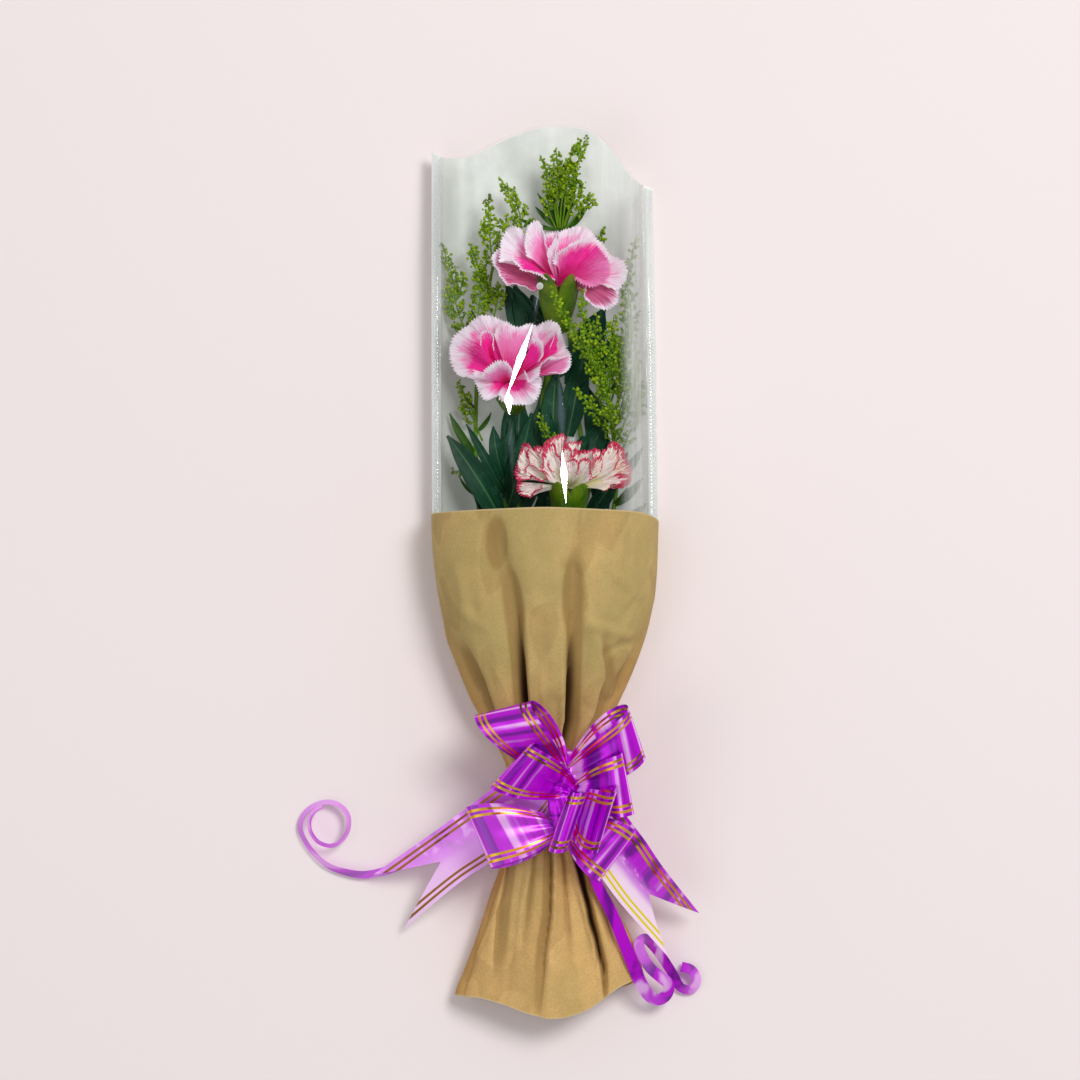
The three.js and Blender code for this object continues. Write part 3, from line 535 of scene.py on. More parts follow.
def paperFinish():
    kraft = Finish("kraftPaper", {"Roughness": 0.78, "Specular IOR Level": 0.3})
    place = kraft.place()
    turn, share, paintedShade = kraft.marks()
    mottle = kraft.noise(place, 120, 4, 0.6)
    cloud = kraft.noise(kraft.scaled(place, 1, 0.6, 1), 34, 2)
    grain = kraft.noise(kraft.scaled(place, 1, 0.8, 1), 1100, 4, 0.75)
    fibres = kraft.noise(kraft.scaled(place, 0.3, 1, 1), 1300, 2, 0.6)
    paintedShadePatches = kraft.noise(kraft.scaled(place, 1, 0.5, 1), 42, 1.5)
    colour = kraft.layers(
        paper["colour"], (share, 0.25, 0.6, 1, paper["warm"]),
        (cloud, 0.6, 0.35, 0.35, paper["olive"]), (cloud, 0.52, 0.7, 0.4, paper["warm"]),
        (abs(turn - 0.25), 0.13, 0.24, kraft.step(share, 0.1, 0.4) * 0.5, paper["edge"]),
        (mottle, 0.3, 0.7, 0.16, paper["dark"]), (grain, 0.42, 0.62, 0.28, paper["dark"]),
        (fibres, 0.6, 0.72, 0.14, paper["light"]),
        # Painted shade: folds and dents darkened by how deep they are, the darkest crease colour along the fold
        # bottoms, and noise blotches of painted shade.
        (paintedShade, 0.08, 0.22, 0.55, paper["shaded"]), (paintedShade, 0.3, 1, 0.94, paper["crease"]),
        (paintedShadePatches, 0.53, 0.56, 0.22, paper["shaded"]), (kraft.cells(place, 620), 0.14, 0.05, 0.35, paper["fibre"]),
        (abs(share - 0.5), 0.496, 0.4995, 0.8, paper["cut"]))
    kraft.feed({"Base Color": colour, "Roughness": 0.7 + grain * 0.2,
                "Normal": kraft.bump(grain * 0.5 + fibres * 0.5, 0.0001, 0.5)})
    return kraft


def makePaper():
    heap = Heap()
    grid, marks = paperGrid()
    heap.sheet(grid, paper["thickness"], marks, closed=True)
    makePiece("kraftPaper", heap, "paper_wrap", [paperFinish()])


# Film: a clear front and a frosted back, welded down both sides in a strip of pressed dots

film = {
    "thickness": 0.25, "seamWidth": 5, "seamGap": 0.9, "lowEnd": -119,
    "drop": (1.8, 0.6),  # how far the front and the back film end below this top edge
    "topEdge": [[-60, 91], [-56, 87], [-48, 86], [-40, 87], [-31, 91], [-20, 96.5], [-8, 101], [4, 103],
                [16, 103], [24, 101], [31, 97], [39, 87.5], [46, 77], [51, 72.5], [60, 69]],
    "frontRows": 210, "frontColumns": 128, "backRows": 120, "backColumns": 90,
    # creases: y from and to, x at both ends, greatest half width and its place; each lies level and shines
    "creases": [((-2, -44), (-6, -21), 2, 0.42), ((-37, -50.5), (-19, -18.3), 2.3, 0.38),
                ((-67, -97), (8.8, 10.9), 1.9, 0.45)],
    # thin white lines of painted highlight and bluish bands of painted reflection, given in the same way
    "paintedGlints": [((10, -42), (-54.7, -54.9), 0.55, 0.5), ((2, -16), (53, 53), 0.5, 0.5),
                ((-18, -35), (53, 53), 0.5, 0.5), ((19, -2), (-2.2, -6.3), 0.25, 0.5)],
    "paintedReflections": [((-16, -72), (6.5, 9.5), 3.4, 0.6), ((-47, -97), (-18.2, -16), 2.8, 0.3),
              ((24, -5), (-3.4, -5), 2.6, 0.5)],
    "hazyEdges": [(38, 46), (-53.5, -56)],  # x where the haze begins and where it is full
    "holes": [(15.6, 83.2), (-2.6, 16.6)], "holeRadius": 1.55,
    "dotFrom": -98, "dotPitch": 1.85, "dotRows": [0.36, 0.64], "dotSize": (0.34, 0.52),
    "dotRings": [[0.9, -0.2], [1, 0.1], [0.75, 0.5], [0.3, 0.7]],
    # the white share shows haze, the punched rims and painted highlight lines; the blue colour is painted reflection
    "hazeAndGlints": rgb(240, 243, 242), "paintedReflection": rgb(160, 196, 250), "clear": rgb(252, 253, 253),
    # the lighter frost colour is the back's cloudy tone and also painted light on its right side
    "frost": rgb(226, 229, 224), "frostCloudAndPaintedLight": rgb(252, 253, 251), "frostRun": rgb(212, 216, 210),
    "dot": rgb(225, 230, 230), "dotLight": rgb(255, 255, 255),
}


def filmGrid(front):
    if front:  # closer columns where the creases are
        dense = np.linspace(0, np.pi, 2000)
        run = np.cumsum(1 + 1.9 * np.exp(-((5 - 57 * np.cos(dense)) / 22) ** 4))
        step = np.interp(np.linspace(run[0], run[-1], film["frontColumns"]), run, dense)
    else:
        step = -np.linspace(0, np.pi, film["backColumns"])
    step = np.concatenate([[step[0]] * 4, step, [step[-1]] * 4])
    flange = np.zeros(len(step))
    flange[:4] = -(film["seamWidth"] - 0.3) * np.array([1, 0.7, 0.4, 0.15])
    flange[-4:] = -flange[:4][::-1]
    fromEdge = np.minimum(np.arange(len(step)), np.arange(len(step))[::-1])
    x = sleevePoint(0, step, film["seamWidth"])[:, 0] + flange
    topY = along(film["topEdge"], x, 2) - film["drop"][0 if front else 1]
    share = np.linspace(0, 1, film["frontRows" if front else "backRows"])[:, None]
    y = lerp(film["lowEnd"], topY[None], share)
    tucked = 4 - 2.8 * smoothstep(y, -108, -98) if front else 1 - smoothstep(y, -96, -76)
    grid = sleevePoint(y, step[None], film["seamWidth"], tucked)
    seam = outline("seam", y) + film["seamGap"] * (0.5 if front else -0.5)
    grid[..., 2] = np.where(fromEdge < 5, seam, grid[..., 2])
    grid[..., 0] += flange
    # slack: soft folds that run with the sleeve, and slight swells along it
    x = grid[..., 0]
    slack = 0.35 * np.sin(x / 7 + 0.8 * np.sin(y / 31)) + 0.3 * np.sin(x / 3.9 + 1.3 * np.sin(y / 23) + 2)
    swell = 0.55 * np.sin(y / 15.5 + 0.04 * x) + 0.3 * np.sin(y / 8.3 + 1 + 0.08 * x)
    across = np.sin(np.abs(step)) ** 0.5
    if front:
        grid[..., 2] += across * (0.5 * slack + swell)
        for (y0, y1), (x0, x1), wide, _ in film["creases"]:
            run = (y - y0) / (y1 - y0)
            off = np.abs(x - lerp(x0, x1, np.clip(run, 0, 1)))
            mask = (1 - smoothstep(off, wide + 2, wide + 5)) * smoothstep(run, -0.16, -0.04)
            mask = mask * (1 - smoothstep(run, 1.04, 1.16))
            grid[..., 2] = lerp(grid[..., 2], grid[..., 2][mask > 0.9].mean(), mask)
    else:
        grid[..., 2] += across * np.maximum(0.35 * slack + 0.4 * swell, -0.2) * smoothstep(y, -96, -70)
    return grid, stacked(np.clip(1 - fromEdge / 4, 0, 1), share, 0)


# How much a place lies within a spear that is widest at its peak and closes to a point at both ends.
def spear(sheet, x, y, ends, places, wide, peak, soft):
    (y0, y1), (x0, x1) = ((a * millimetre, b * millimetre) for a, b in (ends, places))
    run = (y - y0) / (y1 - y0)
    off = abs(x - x0 - run * (x1 - x0))
    reach = sheet.node("ShaderNodeMath", {"operation": "MINIMUM"}, {0: run / peak, 1: (1 - run) / (1 - peak)})
    return sheet.step(reach * (wide * millimetre) - off, 0, soft)


def filmFinish(name, inputs):  # its shader, its place, and how far a point lies in the welded seam
    sheet = Finish(name, inputs)
    return sheet, sheet.place(), sheet.step(sheet.marks()[0], 0.02, 0.3)


def clearShader(sheet):
    return sheet.node("ShaderNodeBsdfTransparent", {}, {0: film["clear"]})


def showFilm(sheet, amount):  # the shader over clear film, in this amount
    amount = sheet.node("ShaderNodeClamp", {}, {0: amount})
    return sheet.blend(amount, clearShader(sheet), Value(sheet, sheet.shader.outputs[0]))


def frontFinish():
    sheet, place, weld = filmFinish("frontFilm", {"Roughness": 0.05, "Specular IOR Level": 0.5, "IOR": 1.5})
    x, y, _ = sheet.parts(place)
    wisps = sheet.noise(sheet.scaled(place, 1, 0.3, 1), 60, 4, 0.6)
    gloss = sheet.node("ShaderNodeFresnel", {}, {"IOR": 1.45}) - 0.0333  # nothing where it is seen square on
    gloss = gloss / (gloss + 0.35) * 0.32
    for crease in film["creases"]:
        gloss = gloss + spear(sheet, x, y, *crease, 0.0003) * 0.3
    bands = sheet.noise(sheet.scaled(place, 1, 0.03, 0), 330, 2)
    edges = sum(sheet.step(x, low * millimetre, high * millimetre) for low, high in film["hazyEdges"])
    hazeAndGlints = edges * (0.3 + 0.3 * sheet.step(wisps * 0.5 + bands * 0.5, 0.38, 0.66))
    # Painted highlights: thin white lines laid into the film's white share.
    for paintedGlint in film["paintedGlints"]:
        hazeAndGlints = hazeAndGlints + spear(sheet, x, y, *paintedGlint, 0.0003) * 0.8
    for hole in film["holes"]:
        hazeAndGlints = hazeAndGlints + (1 - sheet.step(sheet.away(x, y, hole), 0.0013, 0.0018)) * 0.55
    # Painted reflection: soft bluish bands over the clear film.
    paintedReflection = sum(spear(sheet, x, y, *band, 0.004) for band in film["paintedReflections"])
    sheet.feed({"Base Color": sheet.mix(paintedReflection, film["hazeAndGlints"], film["paintedReflection"])})
    surface = showFilm(sheet, hazeAndGlints + weld * (0.2 + 0.2 * wisps) + paintedReflection * (0.08 + 0.12 * wisps))
    mirror = sheet.node("ShaderNodeBsdfGlossy", {}, {"Color": (1, 1, 1, 1), "Roughness": 0.04})
    sheet.show(sheet.blend(gloss, surface, mirror))
    return sheet


def backFinish():
    # The frosted back glows faintly in its own colour: painted light standing in for light scattered through it.
    sheet, place, weld = filmFinish("backFilm", {"Roughness": 0.34, "Specular IOR Level": 0.5, "IOR": 1.5,
                                                 "Emission Strength": 0.06})
    x, _, _ = sheet.parts(place)
    cloud = sheet.noise(place, 38, 4, 0.55)
    folds = sheet.noise(sheet.scaled(place, 1, 0.25, 1), 30, 3, 0.5)
    runs = sheet.noise(sheet.scaled(place, 1, 0.06, 0), 150, 3, 0.6)
    # Lighter in the noise clouds, and lighter towards the right as painted light on a side that falls in shade.
    shade = sheet.layers(
        film["frost"], (cloud * 0.5 + folds * 0.5 + x * 2.2, 0.36, 0.62, 1, film["frostCloudAndPaintedLight"]),
        (runs, 0.5, 0.62, 0.1 + 0.08 * sheet.step(x, 0.01, 0.03), film["frostRun"]))
    sheet.feed({"Base Color": shade, "Emission Color": shade,
                "Normal": sheet.bump(cloud * 0.4 + folds, 0.0012, 0.7)})
    sheet.show(showFilm(sheet, 0.74 + 0.16 * cloud + weld * 0.1))
    return sheet


def clearFinish():  # the inner face of the clear film, which the outer face already speaks for
    inside = Finish("filmInside", {})
    inside.show(clearShader(inside))
    return inside


def dotFinish():
    dots = Finish("weldDots", {"Roughness": 0.22, "Specular IOR Level": 0.6})
    dots.feed({"Base Color": dots.mix(dots.noise(dots.place(), 700, 2), film["dot"], film["dotLight"])})
    return dots


def addDots(heap, grid):  # rows of pressed dots down both seams
    draw = np.random.RandomState(3)
    for outer, within in ((grid[:, 0], grid[:, 4]), (grid[:, -1], grid[:, -5])):
        top = outer[-1, 1]
        run = np.arange(film["dotFrom"], top - 3, film["dotPitch"])
        for row, share in enumerate(film["dotRows"]):
            shift = run + row * film["dotPitch"] / 2
            shift = shift[shift < top - 1]
            seam = lerp(outer, within, share)
            line = stacked(np.interp(shift, outer[:, 1], seam[:, 0]), shift,
                           np.interp(shift, outer[:, 1], seam[:, 2]) + 0.12)
            strength = smoothstep(draw.uniform(-30, 30, len(line)) - shift, -60, 40)
            sizes = draw.uniform(*film["dotSize"], len(line)) * (0.75 + 0.35 * strength)
            ways = np.tile([[0, 0, 1.0]], (len(line), 1))
            marks = stacked(strength, strength, draw.rand(len(line)))
            heap.stamp(film["dotRings"], 8, line, ways, sizes, marks, 1)


def addHoles(heap, grid):  # the rims of the punched spots
    around, radius = circle(24), film["holeRadius"]
    for x, y in film["holes"]:
        centre = grid.reshape(-1, 3)[np.argmin(np.hypot(grid[..., 0] - x, grid[..., 1] - y))]
        rim = centre + stacked(radius * np.cos(around), radius * np.sin(around),
                               0.15 - 0.1 * radius * np.sin(around))
        heap.tube(np.vstack([rim, rim[:2]]), 0.16, 6, (0, 0, 0), 1)


def makeFilms():
    front, back = Heap(), Heap()
    grid, marks = filmGrid(True)
    front.sheet(grid, film["thickness"], marks, under=2)
    addDots(front, grid)
    addHoles(front, grid)
    makePiece("frontFilm", front, "film_front", [frontFinish(), dotFinish(), clearFinish()])
    grid, marks = filmGrid(False)
    back.sheet(grid, film["thickness"], marks)
    makePiece("backFilm", back, "film_back", [backFinish()])


# Carnations

petals = {
    "rows": 20, "pitch": 1.9, "thickness": 0.35, "teeth": 1.5,
    "claw": 0.05, "neck": 0.42,  # how wide both are, against the rim
    # waves along the rim: height, how often they come, and how sharply they grow outwards
    "waves": [(1.3, 1, 2), (0.8, 2.3, 3), (0.55, 5.2, 4), (0.25, 9.7, 6)],
    "hot": rgb(255, 36, 160), "hotThroat": rgb(220, 2, 104), "hotVein": rgb(255, 118, 196),
    # under: the undersides' darker mauve, partly their own colour and partly painted shade
    "soft": rgb(240, 62, 152), "softLight": rgb(250, 140, 200), "under": rgb(186, 74, 120),
    "underLight": rgb(222, 118, 162), "margin": rgb(250, 192, 226), "rim": rgb(252, 238, 250),
    "pinkLine": rgb(214, 40, 128), "cream": rgb(250, 242, 236), "throat": rgb(232, 226, 176),
    "tinge": rgb(238, 226, 176), "streak": rgb(222, 50, 104), "fringe": rgb(196, 18, 70),
    "fringeLight": rgb(228, 66, 112), "creamLine": rgb(190, 150, 132),
}
blooms = {
    "top": {
        "mouth": (7, 18, 29), "axis": (0.03, 0.93, 0.36), "calyx": 27, "lobe": 11, "seed": 11,
        # each petal: its tone (0 hot, 1 soft, 2 the underside, whose darker mauve is partly its own and partly
        # painted shade) or one for each side, where its pale margin begins, how much it is ruffled, its neck,
        # and its rim from one side to the other
        "petals": [
            (2, 0.9, 0.8, [-12, 20.3, 31], [[-24.4, 38.5, 25], [-28.1, 32.8, 27], [-26, 27, 31],
             [-21.8, 20.8, 35], [-14, 17.7, 37], [-5.7, 14, 35]]),
            (0.25, 0.8, 0.5, [3.6, 36.4, 23], [[-2.6, 40, 22], [-0.5, 45.8, 20], [3.1, 46.3, 20], [6.8, 46.8, 20],
             [8.8, 42.6, 22]]),
            (0.45, 0.62, 1.1, [14, 35.4, 25], [[5.2, 40, 27], [8.3, 47.3, 24], [14, 49.4, 22], [19.8, 48.9, 22],
             [24.4, 46.3, 22], [28.1, 42.6, 23], [31.7, 38, 26], [34.8, 32.8, 29]]),
            (0.1, 0.5, 0.9, [29.1, 26, 33], [[30.7, 38, 30], [33.3, 35.4, 30], [36.4, 32.2, 30], [41.1, 30.2, 31],
             [43.7, 26, 32], [42.6, 20.8, 35], [39, 17.2, 38], [33.3, 16.6, 40]]),
            (2.2, 0.86, 0.9, [23.4, 18.7, 34], [[21.8, 17.2, 37], [21.3, 12, 38], [23.9, 7.8, 38],
             [29.1, 5.2, 38], [34.8, 5.7, 37], [38.5, 9.9, 36], [39, 15.6, 36]]),
            (0, 0.46, 0.8, [-12, 34.3, 30], [[-9.4, 41.6, 32], [-12.5, 48.4, 31], [-16.6, 49.4, 30],
             [-21.3, 45.2, 29], [-23.9, 38, 31], [-23.9, 30.7, 35], [-18.7, 29.1, 38]]),
            (0, 0.88, 0.5, [-3.6, 29.1, 34], [[-18.2, 32.8, 39], [-16.6, 30.2, 40], [-12.5, 26, 41],
             [-6.2, 23.4, 41], [-0.5, 20.8, 41], [5.7, 19.2, 39]]),
            (0.7, 0.62, 0.5, [-2.6, 36.4, 33], [[-9.9, 32.8, 37], [-10.4, 42.6, 36], [-8.3, 50.4, 34],
             [-5.2, 52, 33], [-2.1, 50.4, 33], [-0.5, 44.2, 36], [1.6, 35.4, 38]]),
            ((0.75, 0), 0.74, 0.8, [15.1, 32.2, 38], [[4.2, 28.6, 40], [5.7, 34.8, 41], [11.4, 39, 41],
             [18.2, 41.6, 41], [25.5, 42.1, 40], [30.2, 39.5, 40], [32.8, 34.3, 40]]),
            ((0.1, 1.3), 1.05, 0.8, [23.4, 27, 40], [[27.6, 39, 42], [31.2, 34.3, 43], [33.3, 27, 43],
             [32.8, 20.3, 42], [28.6, 17.2, 41], [22.9, 16.6, 40], [18.2, 18.2, 39], [15.1, 19.8, 38]]),
            (1, 0.42, 0.4, [3.6, 30.2, 38], [[2.1, 30.2, 42], [1.6, 35.4, 42], [3.6, 40, 42], [6.2, 44.2, 41],
             [6.8, 40, 41], [5.2, 33.8, 42]]),
        ],
        "stem": [[4, -16, 12], [-1, -40, 7], [-13, -75, 8], [-14, -110, 10], [-8, -160, 14],
                 [-5, -205, 15], [-2, -244, 15.5], [-4, -270, 14], [-6, -305, 13]],
        "leaves": [([[1, -24, 9], [-6, -6, 6.5], [-16, 19, 8]], 16), ([[1, -30, 8], [14, -22, 8], [24, -2, 8]], 9),
                   ([[-14, -104, 9], [-6, -78, 9], [-1, -50, 9]], 13),
                   ([[-13, -92, 9], [4, -80, 7], [12, -51, 7.2]], 9),
                   ([[-6, -14, 8], [-12, 2, 7], [-20, 19, 8]], 15), ([[1, -16, 8], [-3, 2, 7], [-7, 14, 7]], 13),
                   ([[14, -34, 8], [21, -14, 7], [31, 7, 7]], 18), ([[12, -60, 8], [16, -40, 8], [21, -12, 8]], 13),
                   ([[-12, -100, 9], [-8, -80, 8], [3, -40, 8]], 12),
                   ([[10, -86, 8], [22, -72, 8], [33, -50, 9]], 15),
                   ([[-4, -100, 8], [10, -82, 8], [20, -60, 8]], 13),
                   ([[22, -104, 8], [30, -92, 9], [39, -80, 10]], 10),
                   ([[5, -76, 9], [3, -50, 9], [6, -26, 9]], 14), ([[26, -72, 8], [28, -52, 8], [22, -34, 8]], 11),
                   ([[-12, -98, 9], [-15, -70, 9], [-13, -38, 9]], 16),
                   ([[2, -100, 8], [0, -70, 8], [-2, -38, 8]], 16),
                   ([[30, -98, 8], [30, -74, 8], [27, -50, 8]], 15),
                   ([[-17, -84, 10], [-19, -64, 10], [-20, -44, 11]], 9),
                   ([[24, -30, 8], [32, -22, 8], [36, -6, 8]], 10)],
    },
    "left": {
        "mouth": (-17.5, -31.5, 22), "axis": (-0.05, 0.68, 0.73), "calyx": 24, "lobe": 4.6, "seed": 23,
        "petals": [
            (0, 0.66, 1, [-30.2, -16.6, 28], [[-20.3, -0.5, 26], [-24.4, 1.6, 25], [-31.2, 2.6, 24], [-38, 1, 22],
             [-43.2, -3.1, 21], [-48.4, -9.4, 21], [-50.4, -16.1, 22], [-49.4, -22.9, 24], [-45.8, -27.6, 27],
             [-40.6, -30.2, 30], [-35.4, -29.6, 33]]),
            (1, 0.72, 0.9, [-18.2, -14.6, 32], [[-27, -7.3, 34], [-23.9, -1.6, 32], [-19.8, 0, 31],
             [-16.1, -2.1, 30], [-12.5, -3.1, 30], [-8.8, -1.6, 30], [-4.7, -2.6, 31], [-2.1, -9.4, 33]]),
            (0.85, 0.58, 0.9, [-1.6, -15.6, 34], [[-7.8, -9.4, 35], [-5.2, -3.6, 33], [-1, -0.5, 31], [3.6, 0, 30],
             [7.8, -3.1, 30], [9.9, -8.8, 31], [12, -15.1, 34], [13.5, -18.7, 36]]),
            (0, 0.99, 0.3, [2.6, -14.6, 36], [[3.1, -15.6, 39], [4.2, -9.4, 37], [5.7, -6.2, 36],
             [7.3, -10.4, 37], [7.8, -16.6, 38]]),
            (0, 0.52, 0.8, [-14, -33.8, 36], [[-24.4, -41.1, 37], [-19.8, -43.7, 36], [-13, -45.2, 35],
             [-6.2, -43.2, 35], [-2.1, -38, 36], [-1, -31.2, 38], [-4.2, -28.6, 40]]),
            (0, 0.5, 1, [-25.5, -33.3, 36], [[-37.4, -26, 38], [-38, -31.2, 37], [-35.4, -36.4, 36],
             [-31.7, -41.6, 35], [-27, -40.6, 36], [-25, -39, 38], [-21.8, -43.2, 38]]),
            (0.05, 0.92, 0.4, [-29.6, -16.6, 38], [[-33.8, -12.5, 41], [-32.8, -7.3, 40], [-29.1, -5.7, 40],
             [-26.5, -9.4, 41], [-26, -15.6, 42]]),
            (1.3, 0.84, 0.6, [1.6, -26, 38], [[-2.6, -23.4, 42], [-0.5, -20.3, 42], [3.1, -19.2, 41],
             [6.8, -20.3, 40], [10.4, -19.8, 39], [14, -17.7, 37], [13.5, -23.9, 36], [9.4, -28.1, 36],
             [3.1, -28.6, 37]]),
            (0, 0.8, 0.4, [-4.7, -18.7, 39], [[-7.3, -9.4, 41], [-4.2, -9.4, 42], [-1.6, -12, 42],
             [-0.5, -16.6, 42], [-2.1, -21.8, 42]]),
            (0.8, 0.3, 0.5, [-6.8, -28.1, 42], [[-10.9, -26.5, 43], [-9.9, -30.2, 44], [-8.3, -33.3, 44],
             [-4.7, -30.2, 44], [-1.6, -23.9, 43]]),
            (0.8, 0.66, 0.6, [-23.4, -30.2, 43], [[-35.4, -29.6, 41], [-32.8, -26.5, 43], [-28.1, -23.4, 44],
             [-23.4, -21.3, 45], [-19.8, -21.8, 45], [-16.6, -25.5, 44], [-14.6, -29.6, 43]]),
        ],
        "stem": [[-18, -60, 9], [-21, -78, 10], [-22, -100, 13], [-15, -160, 20], [-9, -205, 22],
                 [-2.9, -244, 19.7], [-6.5, -270, 22], [-10, -305, 23]],
        "leaves": [([[-22, -106, 14], [-32, -84, 28], [-51, -60, 21]], 14),
                   ([[-21, -90, 13], [-30, -74, 30], [-41, -54, 24]], 5),
                   ([[-21, -98, 13], [-36, -86, 16], [-47, -66, 17]], 5.5),
                   ([[-21, -84, 11], [-26, -70, 22], [-27, -55, 15]], 8),
                   ([[-20, -100, 12], [-14, -80, 12], [-7, -48, 13]], 12),
                   ([[-25, -102, 10], [-24, -84, 10], [-16, -52, 12]], 12),
                   ([[-24, -106, 10], [-32, -96, 12], [-38, -80, 14]], 9)],
    },
    "right": {
        "mouth": (13, -87, 30), "axis": (0.06, 0.96, 0.24), "calyx": 25, "lobe": 6, "seed": 37,
        "petals": [
            (0, 0.86, 1.35, [5.7, -73.8, 32], [[0, -68.6, 34], [1.6, -62.9, 32], [5.7, -59.8, 30], [9.9, -58.2, 29],
             [11.4, -64, 31], [12, -70.2, 34]]),
            (0.1, 0.86, 1.35, [14.6, -73.8, 33], [[10.4, -66, 34], [13, -62.9, 32], [16.1, -62.4, 31],
             [19.8, -62.9, 31], [17.7, -68.6, 33], [16.6, -73.8, 36]]),
            (0, 0.86, 1.2, [-2.6, -86.8, 36], [[-14, -84.2, 38], [-15.1, -87.4, 38], [-13, -91, 38],
             [-9.4, -92, 38], [-5.2, -90, 39], [-1.6, -86.3, 40]]),
            (0.2, 0.86, 1.5, [-2.6, -75.9, 35], [[-9.4, -68.6, 36], [-6.8, -66.6, 35], [-2.6, -65.5, 34],
             [0.5, -67.1, 35], [1, -73.8, 38]]),
            (0, 0.86, 1.5, [-4.2, -79, 37], [[-7.8, -64.5, 34], [-11.4, -64.5, 33], [-14, -70.2, 33],
             [-15.6, -77, 34], [-15.1, -82.2, 37], [-10.4, -84.8, 40], [-4.2, -84.2, 42], [1.6, -82.2, 42]]),
            (0, 0.86, 1.5, [21.3, -78, 36], [[16.6, -73.8, 38], [17.2, -68.1, 36], [21.8, -67.6, 35],
             [26.5, -66, 34], [28.6, -68.6, 35], [27, -75.4, 38], [23.4, -82.2, 40]]),
            (0.5, 0.86, 1.5, [30.7, -81.1, 40], [[27, -75.9, 41], [28.6, -67.6, 38], [32.2, -66.6, 36],
             [34.8, -62.9, 34], [38.5, -65, 34], [42.6, -69.2, 34], [45.2, -74.9, 35], [45.8, -80.1, 37],
             [42.6, -84.2, 40], [36.9, -87.4, 42], [30.7, -87.4, 43]]),
            (1.2, 0.7, 1, [36.9, -84.2, 40], [[38, -79, 40], [42.1, -80.1, 39], [45.2, -83.2, 38],
             [42.1, -86.8, 39], [36.9, -87.9, 41]]),
            (0, 0.86, 0.9, [5.2, -80.1, 40], [[1, -83.2, 43], [-1, -76.4, 42], [-1, -69.2, 41], [1.6, -64.5, 40],
             [5.2, -63.4, 39], [7.3, -68.6, 41], [7.8, -76.4, 43]]),
            (0.1, 0.86, 1.2, [10.9, -78, 40], [[7.3, -72.8, 42], [8.8, -66.6, 41], [12, -64.5, 41],
             [14.6, -69.7, 42], [15.1, -77, 42]]),
            (0.3, 0.86, 1.05, [19.8, -82.2, 41], [[16.1, -79, 43], [17.2, -73.3, 43], [20.8, -71.2, 43],
             [24.4, -74.9, 43], [23.9, -82.7, 43]]),
            (0.1, 0.86, 0.75, [-8.8, -71.8, 39], [[-7.8, -67.6, 37], [-8.3, -71.8, 39], [-6.8, -75.9, 41],
             [-2.1, -79, 42], [1.6, -82.2, 42]]),
            (0.1, 0.9, 1.4, [2.1, -78, 38], [[-4.2, -68.6, 38], [-2.1, -65.5, 37], [0.5, -68.6, 38],
             [2.1, -73.8, 40], [3.1, -80.6, 41]]),
            (0.1, 0.9, 1.4, [26.5, -79, 40], [[22.9, -74.9, 41], [24.4, -68.6, 40], [27, -67.1, 39],
             [29.1, -70.7, 40], [29.1, -78, 41]]),
            (0.3, 0.9, 1.2, [34.3, -77, 41], [[30.2, -70.2, 40], [33.3, -65, 38], [36.9, -66, 39],
             [39, -71.8, 40], [36.9, -77.5, 41]]),
            (0.1, 0.9, 1.4, [-10.9, -78, 38], [[-13.5, -79, 38], [-14, -71.8, 37], [-11.4, -67.1, 37],
             [-8.8, -71.8, 38], [-8.3, -78.5, 39]]),
            (0.1, 0.9, 1.2, [14, -82.2, 42], [[11.4, -78, 44], [12.5, -73.8, 44], [15.1, -71.8, 44],
             [17.2, -74.9, 44], [17.2, -80.1, 44]]),
        ],
        "stem": [[11, -134, 21], [6, -180, 21], [3.4, -215, 22], [1.4, -244, 18.9], [3, -270, 22], [4, -302, 24]],
        "leaves": [([[12, -128, 21], [32, -116, 42], [45, -102, 34]], 6)],
    },
}


def bloomFrame(bloom):  # the directions across, up and along the bloom, and the mouth of its calyx
    axis = unit(np.array(bloom["axis"], float))
    side = unit(np.cross(axis, [0, 0, 1]))
    return np.stack([side, np.cross(axis, side), axis]), np.array(bloom["mouth"], float)


# A narrow claw runs from the mouth of the calyx by way of the neck and opens into a broad limb, with a
# ruffled rim that is cut into teeth.
def addPetal(heap, mouth, tone, margin, ruffle, neck, rim, draw):
    v = np.linspace(0, 1, petals["rows"])[:, None]
    count = int(lengthOf(rim) / petals["pitch"]) + 4
    u = np.linspace(-1, 1, 4 * count + 1)[None]
    rim = smoothLine(rim, (u[0] + 1) / 2)
    aside, long = rim - rim.mean(0), lengthOf(rim)
    parts = (1 - v) ** 2, 2 * v * (1 - v), v**2
    lines = mouth + aside * petals["claw"], np.array(neck) + aside * petals["neck"], rim
    grid = sum(part[..., None] * line[None] for part, line in zip(parts, lines))
    outward = unit(np.gradient(grid, axis=0))
    turn = u * long / 11
    phase = draw.uniform(0, 6.3, 4)
    lift = sum(high * np.sin(often * turn + start) * v**power
               for (high, often, power), start in zip(petals["waves"], phase))
    deep = np.interp(u * 8, np.arange(-8, 9), draw.uniform(0.4, 1.2, 17))
    teeth = (np.abs(((u * count / 2) % 1) - 0.5) * 2 - 1) * deep * petals["teeth"]
    teeth = teeth + 0.5 * np.sin(turn * 1.7 + phase[3])
    grid = grid + gridNormals(grid, False) * (lift * ruffle)[..., None]
    grid = grid + outward * (teeth * smoothstep(v, 0.84, 1))[..., None]
    shown = np.interp(v, [0, margin, 1.01], [0, 0.75, 1])
    tones = np.interp(u, [-1, -0.1], np.broadcast_to(tone, 2))
    heap.sheet(keepInside(grid), petals["thickness"], stacked(u * long / 30, shown, tones))


